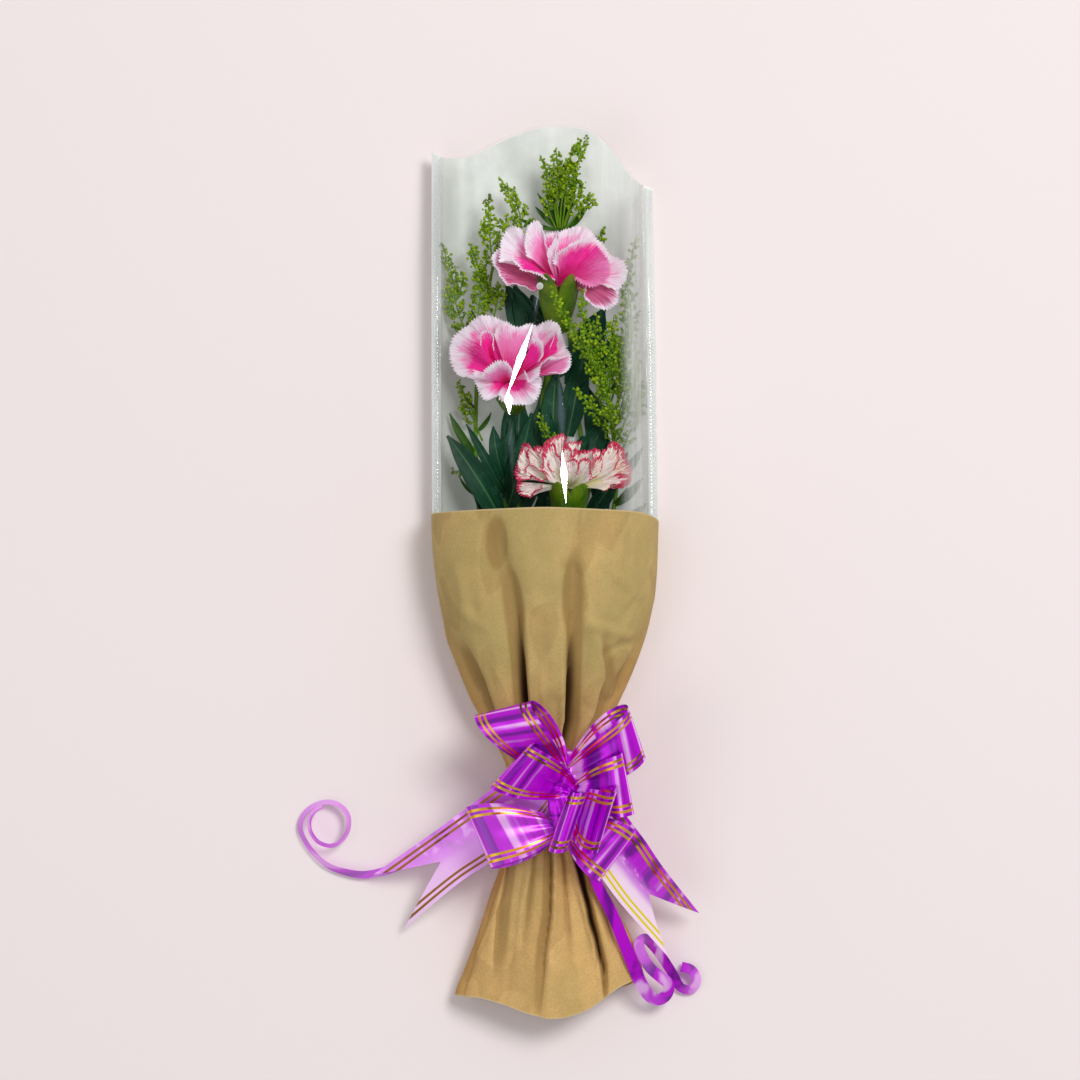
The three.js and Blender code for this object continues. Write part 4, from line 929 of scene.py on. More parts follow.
def petalFinish(name, white):
    # The petals glow faintly in their own colour: painted light standing in for light shining through them.
    petal = Finish(name, {"Roughness": 0.55, "Specular IOR Level": 0.25, "Subsurface Weight": 0.12,
                          "Subsurface Radius": (0.004, 0.0015, 0.002), "Subsurface Scale": 0.5,
                          "Emission Strength": 0.05})
    across, length, tone = petal.marks()
    place = petal.place()
    fan = petal.vector("ADD", petal.joined(across * 9, length * 1.2, tone), petal.scaled(place, 60, 60, 60))
    veins, cloud = petal.noise(fan, 2.6, 3, 0.6), petal.noise(place, 150, 2)
    lines = petal.noise(petal.joined(across * 10, length * 0.7, tone), 3, 2)
    if white:
        streaks = petal.noise(petal.joined(across * 8, length * 1.3, cloud * 2), 2.6, 3, 0.7)
        reach = length + (streaks - 0.5) * 0.8 + tone * petal.step(tone, 1, 1.6) * 0.2
        fringe = petal.layers(petals["fringe"], (veins, 0.4, 0.6, 1, petals["fringeLight"]))
        colour = petal.layers(
            petals["cream"], (length, 0.5, 0.15, 1, petals["throat"]), (cloud, 0.4, 0.6, tone * 0.8, petals["tinge"]),
            (streaks, 0.54, 0.6, petal.step(length, 0.3, 0.6) * 0.85, petals["streak"]),
            (reach, 0.76, 0.84, 1, fringe), (lines, 0.55, 0.68, 0.25, petals["creamLine"]))
    else:
        reach = length + (veins - 0.5) * 0.5 + (cloud - 0.5) * 0.25
        hot = petal.layers(petals["hot"], (length, 0.5, 0.15, 1, petals["hotThroat"]),
                           (veins, 0.5, 0.66, 0.4, petals["hotVein"]))
        soft = petal.layers(petals["soft"], (length + (veins - 0.5) * 0.7, 0.25, 0.65, 1, petals["softLight"]))
        # The underside: its own duller mauve, and darker as painted shade.
        under = petal.layers(petals["under"], (veins, 0.4, 0.65, 1, petals["underLight"]))
        colour = petal.layers(
            hot, (tone, 0, 1, 1, soft), (tone, 1, 1.9, 1, under), (reach, 0.66, 0.88, 1, petals["margin"]),
            (reach, 0.8, 0.94, 1, petals["rim"]), (lines, 0.56, 0.66, 0.3, petals["pinkLine"]))
    petal.feed({"Base Color": colour, "Emission Color": colour, "Normal": petal.bump(lines, 0.0006, 0.6)})
    return petal


def makeBlooms():
    for name, bloom in blooms.items():
        heap = Heap()
        draw = np.random.RandomState(bloom["seed"])
        for petal in bloom["petals"]:
            addPetal(heap, np.array(bloom["mouth"], float), *petal, draw)
        white = name == "right"
        finish = petalFinish("creamPetals" if white else name + "PinkPetals", white)
        makePiece(name + "Bloom", heap, "bloom_" + name, [finish], 75)


# Carnation stems, with their calyx and leaves

stems = {
    "radius": 2, "sides": 14, "step": 3, "knots": (52, 108, 170),
    "calyxProfile": [[1.2, -1], [2.4, -1], [6, -0.77], [8, -0.55], [9.4, -0.35], [10.4, 0], [9.9, 0],
                     [8.8, -0.3], [6.6, -0.4]],
    "calyxRows": 34, "calyxSides": 60,
    "leafShape": [[0, 0.42], [0.25, 0.88], [0.52, 1], [0.8, 0.66], [1, 0.04]],
    "stalk": rgb(66, 108, 24), "stalkLight": rgb(104, 142, 34), "knot": rgb(122, 156, 36),
    "stalkWax": rgb(140, 170, 90), "calyx": rgb(58, 104, 2), "calyxLight": rgb(98, 134, 6),
    "calyxTip": rgb(146, 168, 30), "calyxWax": rgb(128, 160, 60), "leaf": rgb(1, 52, 36),
    "leafLight": rgb(20, 86, 52), "leafWax": rgb(84, 132, 108), "leafRib": rgb(96, 150, 92),
}


def addLeaf(heap, path, width, seed, finish=1, rows=26, thickness=0.5):
    shares = np.linspace(0, 1, rows)
    line = arch(path, shares)
    side = unit(np.cross([0, 0, 1], tangents(line)))
    half = along(stems["leafShape"], shares, 0.06) * width / 2
    edge = np.linspace(-1, 1, 9)
    curl = 0.25 * np.sin(shares * 9 + seed * 20)
    grid = line[:, None] - side[:, None] * (edge[None, :, None] * half[:, None, None])
    grid[..., 2] += np.abs(edge) ** 1.3 * half[:, None] * 0.5 + edge * curl[:, None]
    heap.sheet(keepInside(grid), thickness, stacked(edge, shares[:, None], seed), finish)


def addCalyx(heap, bloom):
    basis, mouth = bloomFrame(bloom)
    around = circle(stems["calyxSides"])
    profile = np.array(stems["calyxProfile"]) * [1, bloom["calyx"]]
    profile = smoothLine(np.c_[profile, 0 * profile[:, 0]], np.linspace(0, 1, stems["calyxRows"]))
    radius, z = profile.T[:2, :, None]
    rim = smoothstep(z, -9, 0)
    turn = (5 * around / (2 * np.pi) - 0.25) % 1
    aside = 2 * np.minimum(turn, 1 - turn)
    lobe = 1 - 0.45 * aside - 0.55 * aside**4
    ribs = 0.12 * np.cos(30 * around) * (1 - rim)
    spread = radius * (1 - 0.1 * aside**6 * rim) + rim * 1.2 * lobe + ribs
    grid = stacked(spread * np.cos(around), spread * np.sin(around), z + rim * (bloom["lobe"] * lobe - 1))
    marks = stacked(lobe, z / bloom["calyx"] + 1, 0.5)
    heap.add(grid @ basis + mouth, marks, ringFaces(len(z), len(around)), 2)


def greenFinish():
    green = Finish("carnationGreen", {"Roughness": 0.48, "Specular IOR Level": 0.35})
    place = green.place()
    fine = green.noise(green.scaled(place, 1, 0.2, 1), 900, 2)
    colour = green.layers(
        stems["stalk"], (green.noise(place, 160, 3), 0.35, 0.65, 1, stems["stalkLight"]),
        (green.marks()[1], 0.75, 1.1, 0.5, stems["knot"]), (fine, 0.55, 0.7, 0.2, stems["stalkWax"]))
    green.feed({"Base Color": colour, "Normal": green.bump(fine, 0.0003, 0.4)})
    return green


def calyxFinish():
    calyx = Finish("carnationCalyx", {"Roughness": 0.42, "Specular IOR Level": 0.35, "Subsurface Weight": 0.08,
                                      "Subsurface Scale": 0.4})
    place = calyx.place()
    cloud = calyx.noise(place, 110, 3)
    fine = calyx.noise(calyx.scaled(place, 1, 0.12, 1), 800, 2)
    colour = calyx.layers(
        stems["calyx"], (cloud, 0.35, 0.65, 1, stems["calyxLight"]),
        (calyx.marks()[1] + cloud * 0.3, 1.1, 1.35, 0.6, stems["calyxTip"]),
        (fine, 0.5, 0.7, 0.25, stems["calyxWax"]))
    calyx.feed({"Base Color": colour, "Normal": calyx.bump(fine, 0.0003, 0.4)})
    return calyx


def leafFinish():
    leaf = Finish("carnationLeaf", {"Specular IOR Level": 0.3})
    across, length, seed = leaf.marks()
    veins = leaf.noise(leaf.joined(across * 9 + seed * 30, length * 0.8, seed * 5), 3, 2)
    wax = leaf.noise(leaf.place(), 220, 4, 0.6)
    colour = leaf.layers(stems["leaf"], (veins, 0.35, 0.7, 1, stems["leafLight"]),
                         (wax, 0.5, 0.75, 0.25, stems["leafWax"]), (abs(across), 0.1, 0.02, 0.5, stems["leafRib"]))
    leaf.feed({"Base Color": colour, "Roughness": 0.36 + wax * 0.2, "Normal": leaf.bump(veins, 0.0004, 0.5)})
    return leaf


def makeStems():
    greens = [greenFinish(), leafFinish(), calyxFinish()]
    for name, bloom in blooms.items():
        heap = Heap()
        basis, mouth = bloomFrame(bloom)
        points = [(mouth - basis[2] * (bloom["calyx"] - 3)).tolist(), *bloom["stem"]]
        length = lengthOf(points)
        shares = np.linspace(0, 1, int(length / stems["step"]))
        swell = sum(np.exp(-((shares * length - knot) / 2.6) ** 2) for knot in stems["knots"])
        heap.tube(smoothLine(points, shares), stems["radius"] * (1 + 0.4 * swell), stems["sides"],
                  stacked(0, 0.3 * swell, 0))
        addCalyx(heap, bloom)
        for k, (path, width) in enumerate(bloom["leaves"]):
            addLeaf(heap, path, width, 0.1 + k * 0.23)
        makePiece(name + "Stem", heap, "carnation_stem_" + name, greens)


# Goldenrod

goldenrod = {
    "rib": 0.5, "ribTip": 0.22, "shoot": 0.26, "stemRows": 110, "stemRadius": [[0, 0.7], [0.4, 1.3], [1, 1.4]],
    "plumeRows": 40, "leaflets": 16, "leafletRows": (4, 62),
    "budRings": [[0.45, 0], [1, 0.8], [0.85, 1.4], [0.3, 1.9]], "budSides": 6, "brown": (-29.6, 65.5),
    "bud": rgb(76, 120, 0), "budLight": rgb(156, 192, 4), "budOpen": rgb(198, 220, 36),
    "budBrown": rgb(92, 74, 34), "budShade": rgb(90, 128, 20),
    "stem": (rgb(72, 122, 8), rgb(132, 174, 36)), "leaf": (rgb(30, 76, 6), rgb(74, 122, 18)),
}
goldenrods = {
    "middle": {
        "seed": 5, "budSize": (0.56, 0.96), "budGap": 0.5, "shootGap": 2.2,
        "stem": [[20, -75, 5], [16, -110, 6.5], [8, -160, 10], [3, -205, 11], [-0.4, -244, 12.1], [0.5, -270, 10],
                 [2, -300, 9]],
        "rise": [[11, 52, 9], [10, 38, 4.5], [10, 20, 4], [12, 0, 4.2], [16, -40, 5.2], [20, -75, 5]],
        "plumes": [
            ([[7.8, 48.9, 9], [8.8, 62.4, 15], [13, 78, 22], [22.4, 95.7, 26]], 6.5, 0.3),
            ([[6.8, 48.9, 9], [5.7, 62.4, 14], [3.6, 72.8, 18], [-2.6, 85.3, 21]], 5, 0.3),
            ([[7.8, 49.4, 9], [6.2, 62.4, 15], [6.8, 75.4, 21], [5.7, 89.4, 24]], 5.5, 0.35),
            ([[9.9, 49.4, 9], [14.6, 59.8, 13], [20.3, 65, 15], [27, 61.9, 16]], 5.5, 0.3),
            ([[9.4, 49.4, 9], [14, 62.4, 15], [17.2, 70.2, 18], [20.3, 71.8, 20]], 4, 0.4),
            ([[8.8, 48.9, 9], [10.4, 59.8, 14], [12, 72.8, 20], [17.2, 92.6, 25]], 7, 0.35),
            ([[10.9, 48.9, 9], [16.1, 55.1, 12], [20.3, 59.3, 14], [23.4, 58.8, 15]], 3.5, 0.3),
            ([[10.4, 38, 4.5], [20.8, 36.4, 5], [28.6, 41.6, 6], [30.7, 48.9, 9]], 4, 0.66),
            ([[17.2, -64, 6], [7.8, -67.6, 14], [1, -58.2, 20], [-3.6, -48.4, 21]], 3.6, 0.4),
            ([[5.7, 48.9, 9], [2.1, 57.2, 12], [1.6, 65, 15], [0, 71.8, 17]], 4, 0.3),
            ([[6.8, 48.9, 9], [5.2, 59.8, 13], [8.8, 72.8, 19], [13, 84.2, 23]], 6, 0.4),
        ],
        "leaves": [([[8, 47, 8], [3, 57, 8], [-4, 67, 11]], 3), ([[6, 49, 8], [0, 54, 9], [-5, 60, 10]], 2.6),
                   ([[7, 48, 7], [6, 60, 7], [2, 73, 9]], 3.6), ([[8, 48, 7], [8, 62, 7], [11, 80, 9]], 2.6),
                   ([[9, 48, 7], [13, 62, 7], [15, 76, 9]], 3.4), ([[10, 48, 7], [17, 52, 7], [21, 58, 9]], 2.8),
                   ([[9, 48, 8], [6, 60, 8], [1, 69, 11]], 2.6), ([[12, 49, 8], [18, 56, 8], [24, 62, 11]], 2.6),
                   ([[6, 48, 9], [-6, 50, 9], [-14, 54, 10]], 2.6),
                   ([[10, 48, 9], [12, 58, 10], [16, 66, 13]], 2.6)],
    },
    "left": {
        "seed": 9, "budSize": (0.64, 1.05), "budGap": 0.62, "shootGap": 2,
        "stem": [[-36, -75, 7], [-33, -110, 8], [-22, -160, 11], [-13, -205, 14], [-5.6, -244, 16.4],
                 [-9, -270, 14], [-13, -300, 11]],
        "rise": [[-27, 30, 13], [-30, 14, 9], [-34, -5, 6], [-36, -40, 6], [-36, -75, 7]],
        "plumes": [
            ([[-34.8, -15.6, 8], [-43.2, -1, 12], [-46.8, 10.4, 12], [-48.4, 23.4, 13], [-54.1, 40, 15]], 5, 0.2),
            ([[-46.8, 10.4, 12], [-43.7, 18.2, 13], [-42.6, 25.5, 14]], 4, 0.1),
            ([[-32.8, -7.8, 9], [-34.8, 4.2, 14], [-33.8, 15.6, 14], [-35.4, 30.2, 16], [-39.5, 40.6, 17]], 6, 0.1),
            ([[-27, 27, 12], [-28.1, 36.4, 14], [-29.1, 49.4, 16], [-29.6, 66, 18]], 6, 0.05),
            ([[-27.6, 30.2, 13], [-22.9, 39, 15], [-19.8, 55.1, 18]], 4.5, 0.2),
            ([[-27, 30.2, 13], [-13, 44.2, 11], [-14, 58.8, 13], [-19.2, 67.6, 16], [-23.4, 74.4, 18]], 5.5, 0.35),
            ([[-27, 1, 10], [-25, 10.4, 12], [-23.9, 19.8, 13]], 5, 0.1),
            ([[-32.8, -62.4, 7], [-39, -47.8, 10], [-42.6, -37.4, 12], [-45.2, -31.2, 13]], 4, 0.3),
            ([[-38, -48.9, 9], [-42.1, -46.3, 11], [-44.7, -45.8, 12]], 3, 0.3),
            ([[-36.4, -72.8, 8], [-43.2, -77, 12], [-47.8, -79.6, 14]], 3, 0.7),
            ([[-27, 10.4, 10], [-30.7, 18.2, 13], [-31.7, 27, 14]], 4, 0.1),
            ([[-48.4, 1, 12], [-50.4, 10.4, 12], [-51, 17.7, 13]], 3.5, 0.1),
            ([[-29.1, 41.6, 16], [-31.7, 45.8, 16], [-32.2, 52, 17]], 3, 0.1),
        ],
        "leaves": [([[-36, -70, 7], [-44, -62, 6], [-50, -48, 10]], 4.5)],
    },
    "right": {
        "seed": 14, "budSize": (0.72, 1.2), "budGap": 0.95, "shootGap": 2.5,
        "stem": [[38, -75, 8], [34, -110, 10], [22, -160, 13], [11, -205, 15], [1.8, -244, 15.2], [7, -270, 14],
                 [11, -300, 13]],
        "rise": [[30, -22, 24], [33, -40, 14], [38, -75, 8]],
        "plumes": [
            ([[31.7, -38, 15], [21.8, -16.1, 40], [8.8, 3.1, 50], [3.1, 16.6, 50]], 4, 0.42),
            ([[32.8, -40, 14], [23.9, -14, 36], [19.8, 0, 42], [18.7, 15.6, 42]], 4.5, 0.35),
            ([[32.8, -42.1, 14], [30.2, -26, 26], [26, -7.8, 36], [27, 2.1, 38]], 6, 0.2),
            ([[33.8, -44.2, 14], [33.8, -28.1, 26], [33.8, -12, 32], [35.9, 2.1, 34]], 6.5, 0.1),
            ([[33.8, -49.9, 12], [30.2, -35.9, 26], [23.9, -21.8, 32], [19.8, -12, 34]], 6, 0.2),
            ([[35.9, -58.2, 10], [29.1, -49.9, 20], [21.8, -42.1, 28], [15.1, -35.9, 32]], 5, 0.2),
            ([[35.9, -64, 10], [33.8, -52, 22], [32.2, -40, 28], [30.2, -30.2, 32]], 6, 0.05),
            ([[38, -61.9, 9], [44.2, -45.8, 14], [46.8, -30.2, 18], [46.8, -12, 21]], 5, 0.2),
            ([[38, -73.8, 8], [45.2, -56.2, 10], [49.9, -45.8, 12], [50.4, -31.2, 14]], 4, 0.2),
            ([[38, -40, 9], [45.8, -5.2, 11], [43.2, 19.8, 14], [47.3, 43.7, 18]], 4, 0.45),
            ([[35.9, -49.9, 10], [42.1, -28.1, 18], [42.1, -7.8, 24], [41.1, 15.6, 26]], 5.5, 0.25),
            ([[32.8, -31.2, 20], [26.5, -20.8, 30], [16.6, -13, 36], [14, -4.2, 38]], 5, 0.3),
            ([[34.8, -41.6, 14], [38, -28.6, 24], [38.5, -13, 30], [32.8, -2.6, 33]], 5.5, 0.1),
            ([[34.8, -31.2, 14], [40, -15.6, 20], [45.2, -5.2, 22], [48.4, 1, 22]], 5, 0.2),
            ([[35.9, -57.2, 9], [40, -44.2, 14], [42.1, -33.8, 18], [40, -21.8, 22]], 5, 0.2),
        ],
        "leaves": [([[36, -96, 9], [44, -92, 16], [51, -82, 18]], 5),
                   ([[37, -84, 8.5], [46, -76, 14], [51, -66, 16]], 4.5),
                   ([[35, -104, 9.5], [46, -104, 14], [53, -95, 16]], 4.5)],
    },
}


def addBuds(heap, line, draw, gap, size):  # buds set round a shoot, smaller towards its tip
    count = max(3, int(lengthOf(line) / gap))
    shares = (np.arange(count) + draw.uniform(0.2, 0.8, count)) / count * 0.85 + 0.15
    at = stacked(*(np.interp(shares, np.linspace(0, 1, len(line)), values) for values in line.T))
    ahead = tangents(line)[np.minimum((shares * (len(line) - 1)).astype(int), len(line) - 1)]
    loose = unit(draw.normal(size=(count, 3)))
    outward = unit(loose - ahead * (loose * ahead).sum(1, keepdims=True))
    ways = unit(outward + ahead * 0.8)
    places = keepInside(at + ways * draw.uniform(0.1, 1, count)[:, None], 2.2)
    sizes = draw.uniform(*size, count) * (1.05 - 0.3 * shares)
    marks = stacked(draw.rand(count), shares, draw.rand(count))
    heap.stamp(goldenrod["budRings"], goldenrod["budSides"], places, ways, sizes, marks)


def addPlume(heap, path, reach, start, spec, draw):
    rows = goldenrod["plumeRows"]
    line = smoothLine(path, np.linspace(0, 1, rows))
    heap.tube(line, np.linspace(goldenrod["rib"], goldenrod["ribTip"], rows), 6, (0, 0.5, 0.5), 1)
    tip = line[int((rows - 1) * lerp(start, 1, 0.35)):]
    addBuds(heap, tip, draw, spec["budGap"] * 1.6, spec["budSize"])
    ahead = tangents(line)
    count = int(lengthOf(path) * (1 - start) / spec["shootGap"])
    for k in range(count):
        share = lerp(start, 0.94, (k + 0.5) / count)
        at, way = (values[int(share * (rows - 1))] for values in (line, ahead))
        outward = unit(np.cross(way, [0, 0, 1])) * (1 if k % 2 else -1)
        outward = unit(outward + [0, 0, draw.uniform(-0.8, 0.8)])
        long = reach * lerp(1.35, 0.5, (share - start) / (0.94 - start)) * draw.uniform(0.6, 1.2)
        bend = at + way * long * 0.3 + outward * long * 0.5
        end = at + way * long * draw.uniform(0.6, 0.9) + outward * long * draw.uniform(0.55, 0.8)
        shoot = keepInside(arch([at, bend, end], np.linspace(0, 1, 7)), 2.5)
        heap.tube(shoot, goldenrod["shoot"], 5, (0, 0.5, 0.5), 1)
        addBuds(heap, shoot, draw, spec["budGap"], spec["budSize"])


def budFinish():
    bud = Finish("goldenrodBuds", {"Roughness": 0.5, "Specular IOR Level": 0.3, "Subsurface Weight": 0.08,
                                   "Subsurface Scale": 0.4})
    one, _, two = bud.marks()
    place = bud.place()
    x, y, _ = bud.parts(place)
    fine = bud.noise(place, 900, 2)
    colour = bud.layers(
        bud.mix(one, goldenrod["bud"], goldenrod["budLight"]), (two, 0.8, 0.88, 0.7, goldenrod["budOpen"]),
        (bud.away(x, y, goldenrod["brown"]), 0.006, 0.002, 0.85, goldenrod["budBrown"]))
    bud.feed({"Base Color": bud.mix(fine * 0.3, colour, goldenrod["budShade"]),
              "Normal": bud.bump(fine, 0.0003, 0.5)})
    return bud


def sprigFinish(name, dark, light):
    sprig = Finish(name, {"Roughness": 0.5, "Specular IOR Level": 0.3})
    fine = sprig.noise(sprig.scaled(sprig.place(), 1, 0.2, 1), 700, 3)
    sprig.feed({"Base Color": sprig.mix(fine, dark, light), "Normal": sprig.bump(fine, 0.0003, 0.5)})
    return sprig


def makeGoldenrods():
    finishes = [budFinish(), sprigFinish("goldenrodStem", *goldenrod["stem"]),
                sprigFinish("goldenrodLeaf", *goldenrod["leaf"])]
    shares = np.linspace(0, 1, goldenrod["stemRows"])
    for name, spec in goldenrods.items():
        heap = Heap()
        draw = np.random.RandomState(spec["seed"])
        line = smoothLine([*spec["rise"], *spec["stem"][1:]], shares)
        heap.tube(line, along(goldenrod["stemRadius"], shares), 10, (0, 0.4, 0.4), 1)
        for path, reach, start in spec["plumes"]:
            addPlume(heap, path, reach, start, spec, draw)
        for k, (path, width) in enumerate(spec["leaves"]):
            addLeaf(heap, path, width, k * 0.3, 2, 18, 0.4)
        ahead = tangents(line)
        for k in range(goldenrod["leaflets"]):  # up the main stem
            place = int(lerp(*goldenrod["leafletRows"], k / goldenrod["leaflets"]))
            at, way = line[place], -ahead[place]
            outward = unit(np.cross(way, [0, 0, 1]) * (1 if k % 2 else -1) + [0, 0, draw.uniform(-0.2, 0.8)])
            long = draw.uniform(7, 13)
            path = [at, at + outward * long * 0.5 + way * long * 0.3, at + outward * long * 0.7 + way * long * 0.9]
            addLeaf(heap, path, draw.uniform(1.6, 2.4), draw.rand(), 2, 10, 0.3)
        makePiece(name + "Goldenrod", heap, "goldenrod_" + name, finishes)


# Ribbon

ribbon = {
    "thickness": 0.3, "pinch": 7, "loopRows": 64, "loopColumns": 21, "gathers": 3,
    "tailRows": 60, "tailColumns": 25, "curlRows": 220, "curlColumns": 9,
    "loops": [
        # knot, the two corners of the bend, the way from the back layer to the front one, paleness and painted
        # highlight
        ([9, -236, 47], ([-36, -205, 54], [-7.3, -197.5, 60]), [-2.5, -3, 8], 0.14),
        ([11, -236, 47], ([42.6, -200, 60], [51.6, -226, 56]), [1.5, -4, 8], 0.1),
        ([15, -244, 49], ([-7.3, -219, 66], [-28, -241.5, 60]), [0, -1.5, 7], 0),
        ([16, -244, 49], ([39.5, -223.6, 64], [45.8, -255, 60]), [0, -1.5, 7], 0.1),
        ([7, -262, 46], ([-41, -252.7, 50], [-28, -284, 48]), [0, 1.5, 6], 0.2),
        ([12, -262, 46], ([46.8, -265, 52], [28, -291, 50]), [0, 1.5, 6], 0.15),
        ([13, -256, 50], ([17.2, -244, 75], [6.2, -275, 71]), [5.5, 0, 1], 0),
        ([16, -251, 49], ([35.4, -244, 72], [25.5, -275.6, 69]), [4.5, 1, 3], 0.05),
    ],
    "tails": [
        {"edges": ([[5, -234, 43], [-18, -238, 39.5], [-43, -255.5, 33], [-60, -268, 25], [-90, -289.6, 9]],
                   [[9, -240, 43], [-3, -262, 40.5], [-25, -279.5, 33], [-44, -292.5, 25], [-73.8, -318.2, 7]]),
         "paleAndHighlight": ((0.2, 0.5), (0.35, 0.85)), "notch": 0.23},
        {"edges": ([[4, -241, 43], [11, -265, 40.5], [28.1, -288, 36.4], [39, -303, 30], [64, -331.8, 16]],
                   [[10, -236, 43], [33, -248, 40.5], [49.4, -267, 35], [61, -284, 30], [80.6, -309.4, 14]]),
         "paleAndHighlight": ((0.7, 1.2), (0.0, 0.25)), "notch": 0.2},
    ],
    # deep and the gleam are painted shade and painted highlight in streaks across the ribbon; white is partly the
    # ribbon's own pale lilac-white and partly painted highlight on the tails' pale prongs; red and the bright foil
    # yellow are painted reflection and painted highlight in the foil lines
    "vivid": rgb(200, 0, 226), "deep": rgb(122, 0, 160), "lilac": rgb(236, 160, 248), "white": rgb(255, 232, 250),
    "paintedGleam": rgb(250, 196, 255), "gold": rgb(226, 172, 52), "red": rgb(226, 16, 40), "bronze": rgb(112, 70, 22),
    "paintedFoilHighlight": rgb(250, 230, 50), "dull": rgb(124, 64, 18),
    "foilLines": (0.83, 0.65),  # how far from the middle to the edge each pair lies
    "neck": -246, "knotCentre": (10, 44), "knotRadii": (8.5, 7.5), "knotLength": 46, "knotRows": 30, "knotSides": 40,
    "bandWidth": 8, "bandReach": 3, "bandRows": 9, "bandSides": 120,
}


def addLoop(heap, knot, corners, apart, paleAndHighlight):
    knot, (first, last), apart = np.array(knot, float), np.array(corners, float), np.array(apart, float)
    across = last - first
    gather = across / np.linalg.norm(across) * ribbon["pinch"]
    share = np.linspace(0, 1, ribbon["loopRows"])[:, None]
    turn = share * 2 * np.pi
    out = ((1 - np.cos(turn)) / 2) ** 0.8
    bulge = np.sin(turn) * np.abs(np.sin(turn / 2)) ** 0.6
    bulge = bulge + np.interp(share, [0, 0.12, 0.88, 1], [0.08, 0, 0, -0.08])
    middle = lerp(knot, (first + last) / 2, out) + apart * bulge
    pinch = (1 - out) ** 2.4
    width = gather + (across - gather) * (1 - pinch)
    u = np.linspace(-1, 1, ribbon["loopColumns"])[None]
    grid = middle[:, None] + width[:, None] * u[..., None] / 2
    folds = pinch * 1.5 * np.cos(u * np.pi * ribbon["gathers"] + paleAndHighlight * 9)
    folds = folds + 0.35 * np.sin(turn) * (1 - u**2) + pinch**0.5 * 0.5 * np.sin(u * 7 + turn)
    grid = grid + gridNormals(grid, False) * folds[..., None]
    heap.sheet(grid, ribbon["thickness"], stacked(u, share, paleAndHighlight))


def addTail(heap, edges, paleAndHighlight, notch):
    u = np.linspace(-1, 1, ribbon["tailColumns"])[None]
    reach = np.linspace(0, 1, ribbon["tailRows"])[:, None] * (1 - notch * (1 - np.abs(u)))
    first, last = (smoothLine(edge, reach.ravel(), False).reshape(*reach.shape, 3) for edge in edges)
    grid = lerp(first, last, (u[..., None] + 1) / 2)
    grid[..., 2] += 0.7 * np.cos(u * np.pi / 2) * smoothstep(reach, 0.1, 0.5) + 0.35 * np.sin(reach * 14 + u)
    lower, upper = (lerp(*ends, reach) for ends in paleAndHighlight)
    heap.sheet(grid, ribbon["thickness"], stacked(u, reach, lerp(lower, upper, smoothstep(u, -0.6, 0.3))))


def ribbonFinish(name, lined=False):
    # The ribbon glows faintly in its own colour: painted light.
    satin = Finish(name, {"Specular IOR Level": 0.3, "Coat Weight": 0.15, "Coat Roughness": 0.08,
                          "Emission Strength": 0.08})
    across, length, paleAndHighlight = satin.marks()
    place = satin.place()
    paintedSheen = satin.noise(satin.joined(across * 0.05, length * (7 if lined else 4) + across * 0.1, paleAndHighlight * 3), 2, 2)
    # Painted shade and highlight: deep purple, vivid purple and lilac-white gleams in streaks across the ribbon; the
    # pale parts are paler lilac and white, partly the ribbon's own colour and partly painted highlight.
    colour = satin.layers(
        ribbon["deep"], (paintedSheen, 0.38, 0.5, 1, ribbon["vivid"]), (paintedSheen, 0.56, 0.66, 0.85, ribbon["paintedGleam"]),
        (paleAndHighlight, 0.08, 0.6, 0.85, ribbon["lilac"]), (paleAndHighlight, 0.55, 0.95, 0.9, ribbon["white"]))
    metal = 0.52 - paleAndHighlight * 0.4
    if lined:
        line = sum(satin.step(abs(abs(across) - at), 0.05, 0.035) for at in ribbon["foilLines"])
        # Painted reflection and highlight in the foil lines: red near the knot, and bright yellow where they cross a
        # tail's painted white highlight.
        paintedRedReflection = satin.step(abs(length - 0.5), 0.16, 0.3) * satin.step(paleAndHighlight, 0.25, 0.15)
        foil = satin.layers(
            ribbon["gold"], (satin.noise(place, 60, 2), 0.52, 0.6, 1, ribbon["bronze"]),
            (satin.noise(place, 90, 1), 0.36, 0.46, paintedRedReflection, ribbon["red"]),
            (paleAndHighlight, 0.22, 0.35, 0.8, ribbon["dull"]), (paleAndHighlight, 0.84, 0.9, 1, ribbon["paintedFoilHighlight"]))
        colour = satin.mix(line, colour, foil)
        metal = metal + line * 0.3
    satin.feed({"Base Color": colour, "Emission Color": colour, "Metallic": metal,
                "Roughness": 0.26 + satin.noise(place, 420, 3) * 0.06})
    return satin


def addKnot(heap):  # the ribbon drawn tight over its strings, with its gathers running round it
    share = np.linspace(0, 1, ribbon["knotRows"])[:, None]
    around = circle(ribbon["knotSides"])
    (x, z), (wide, high) = ribbon["knotCentre"], ribbon["knotRadii"]
    swell = np.sin(share * np.pi * 0.94 + 0.09) ** 0.5
    swell = swell * (1 + 0.1 * np.cos(around * 7 + 2 * np.sin(share * 6)) + 0.05 * np.cos(around * 13 + 4))
    grid = stacked(x + wide * swell * np.cos(around), ribbon["neck"] + (share - 0.5) * ribbon["knotLength"],
                   z + high * swell * np.sin(around))
    wall, (low,), (top,) = ringFaces(len(share), len(around))
    # these rings turn the other way, so their faces are turned round
    heap.add(grid, stacked(0, share, 0 * around), [wall[:, [0, 3, 2, 1]], [low[::-1]], [top[::-1]]], 1)


def makeBow():
    heap = Heap()
    for loop in ribbon["loops"]:
        addLoop(heap, *loop)
    for tail in ribbon["tails"]:
        addTail(heap, tail["edges"], tail["paleAndHighlight"], tail["notch"])
    addKnot(heap)
    makePiece("pullBow", heap, "bow_ribbon",
              [ribbonFinish("linedRibbon", True), ribbonFinish("plainRibbon")])


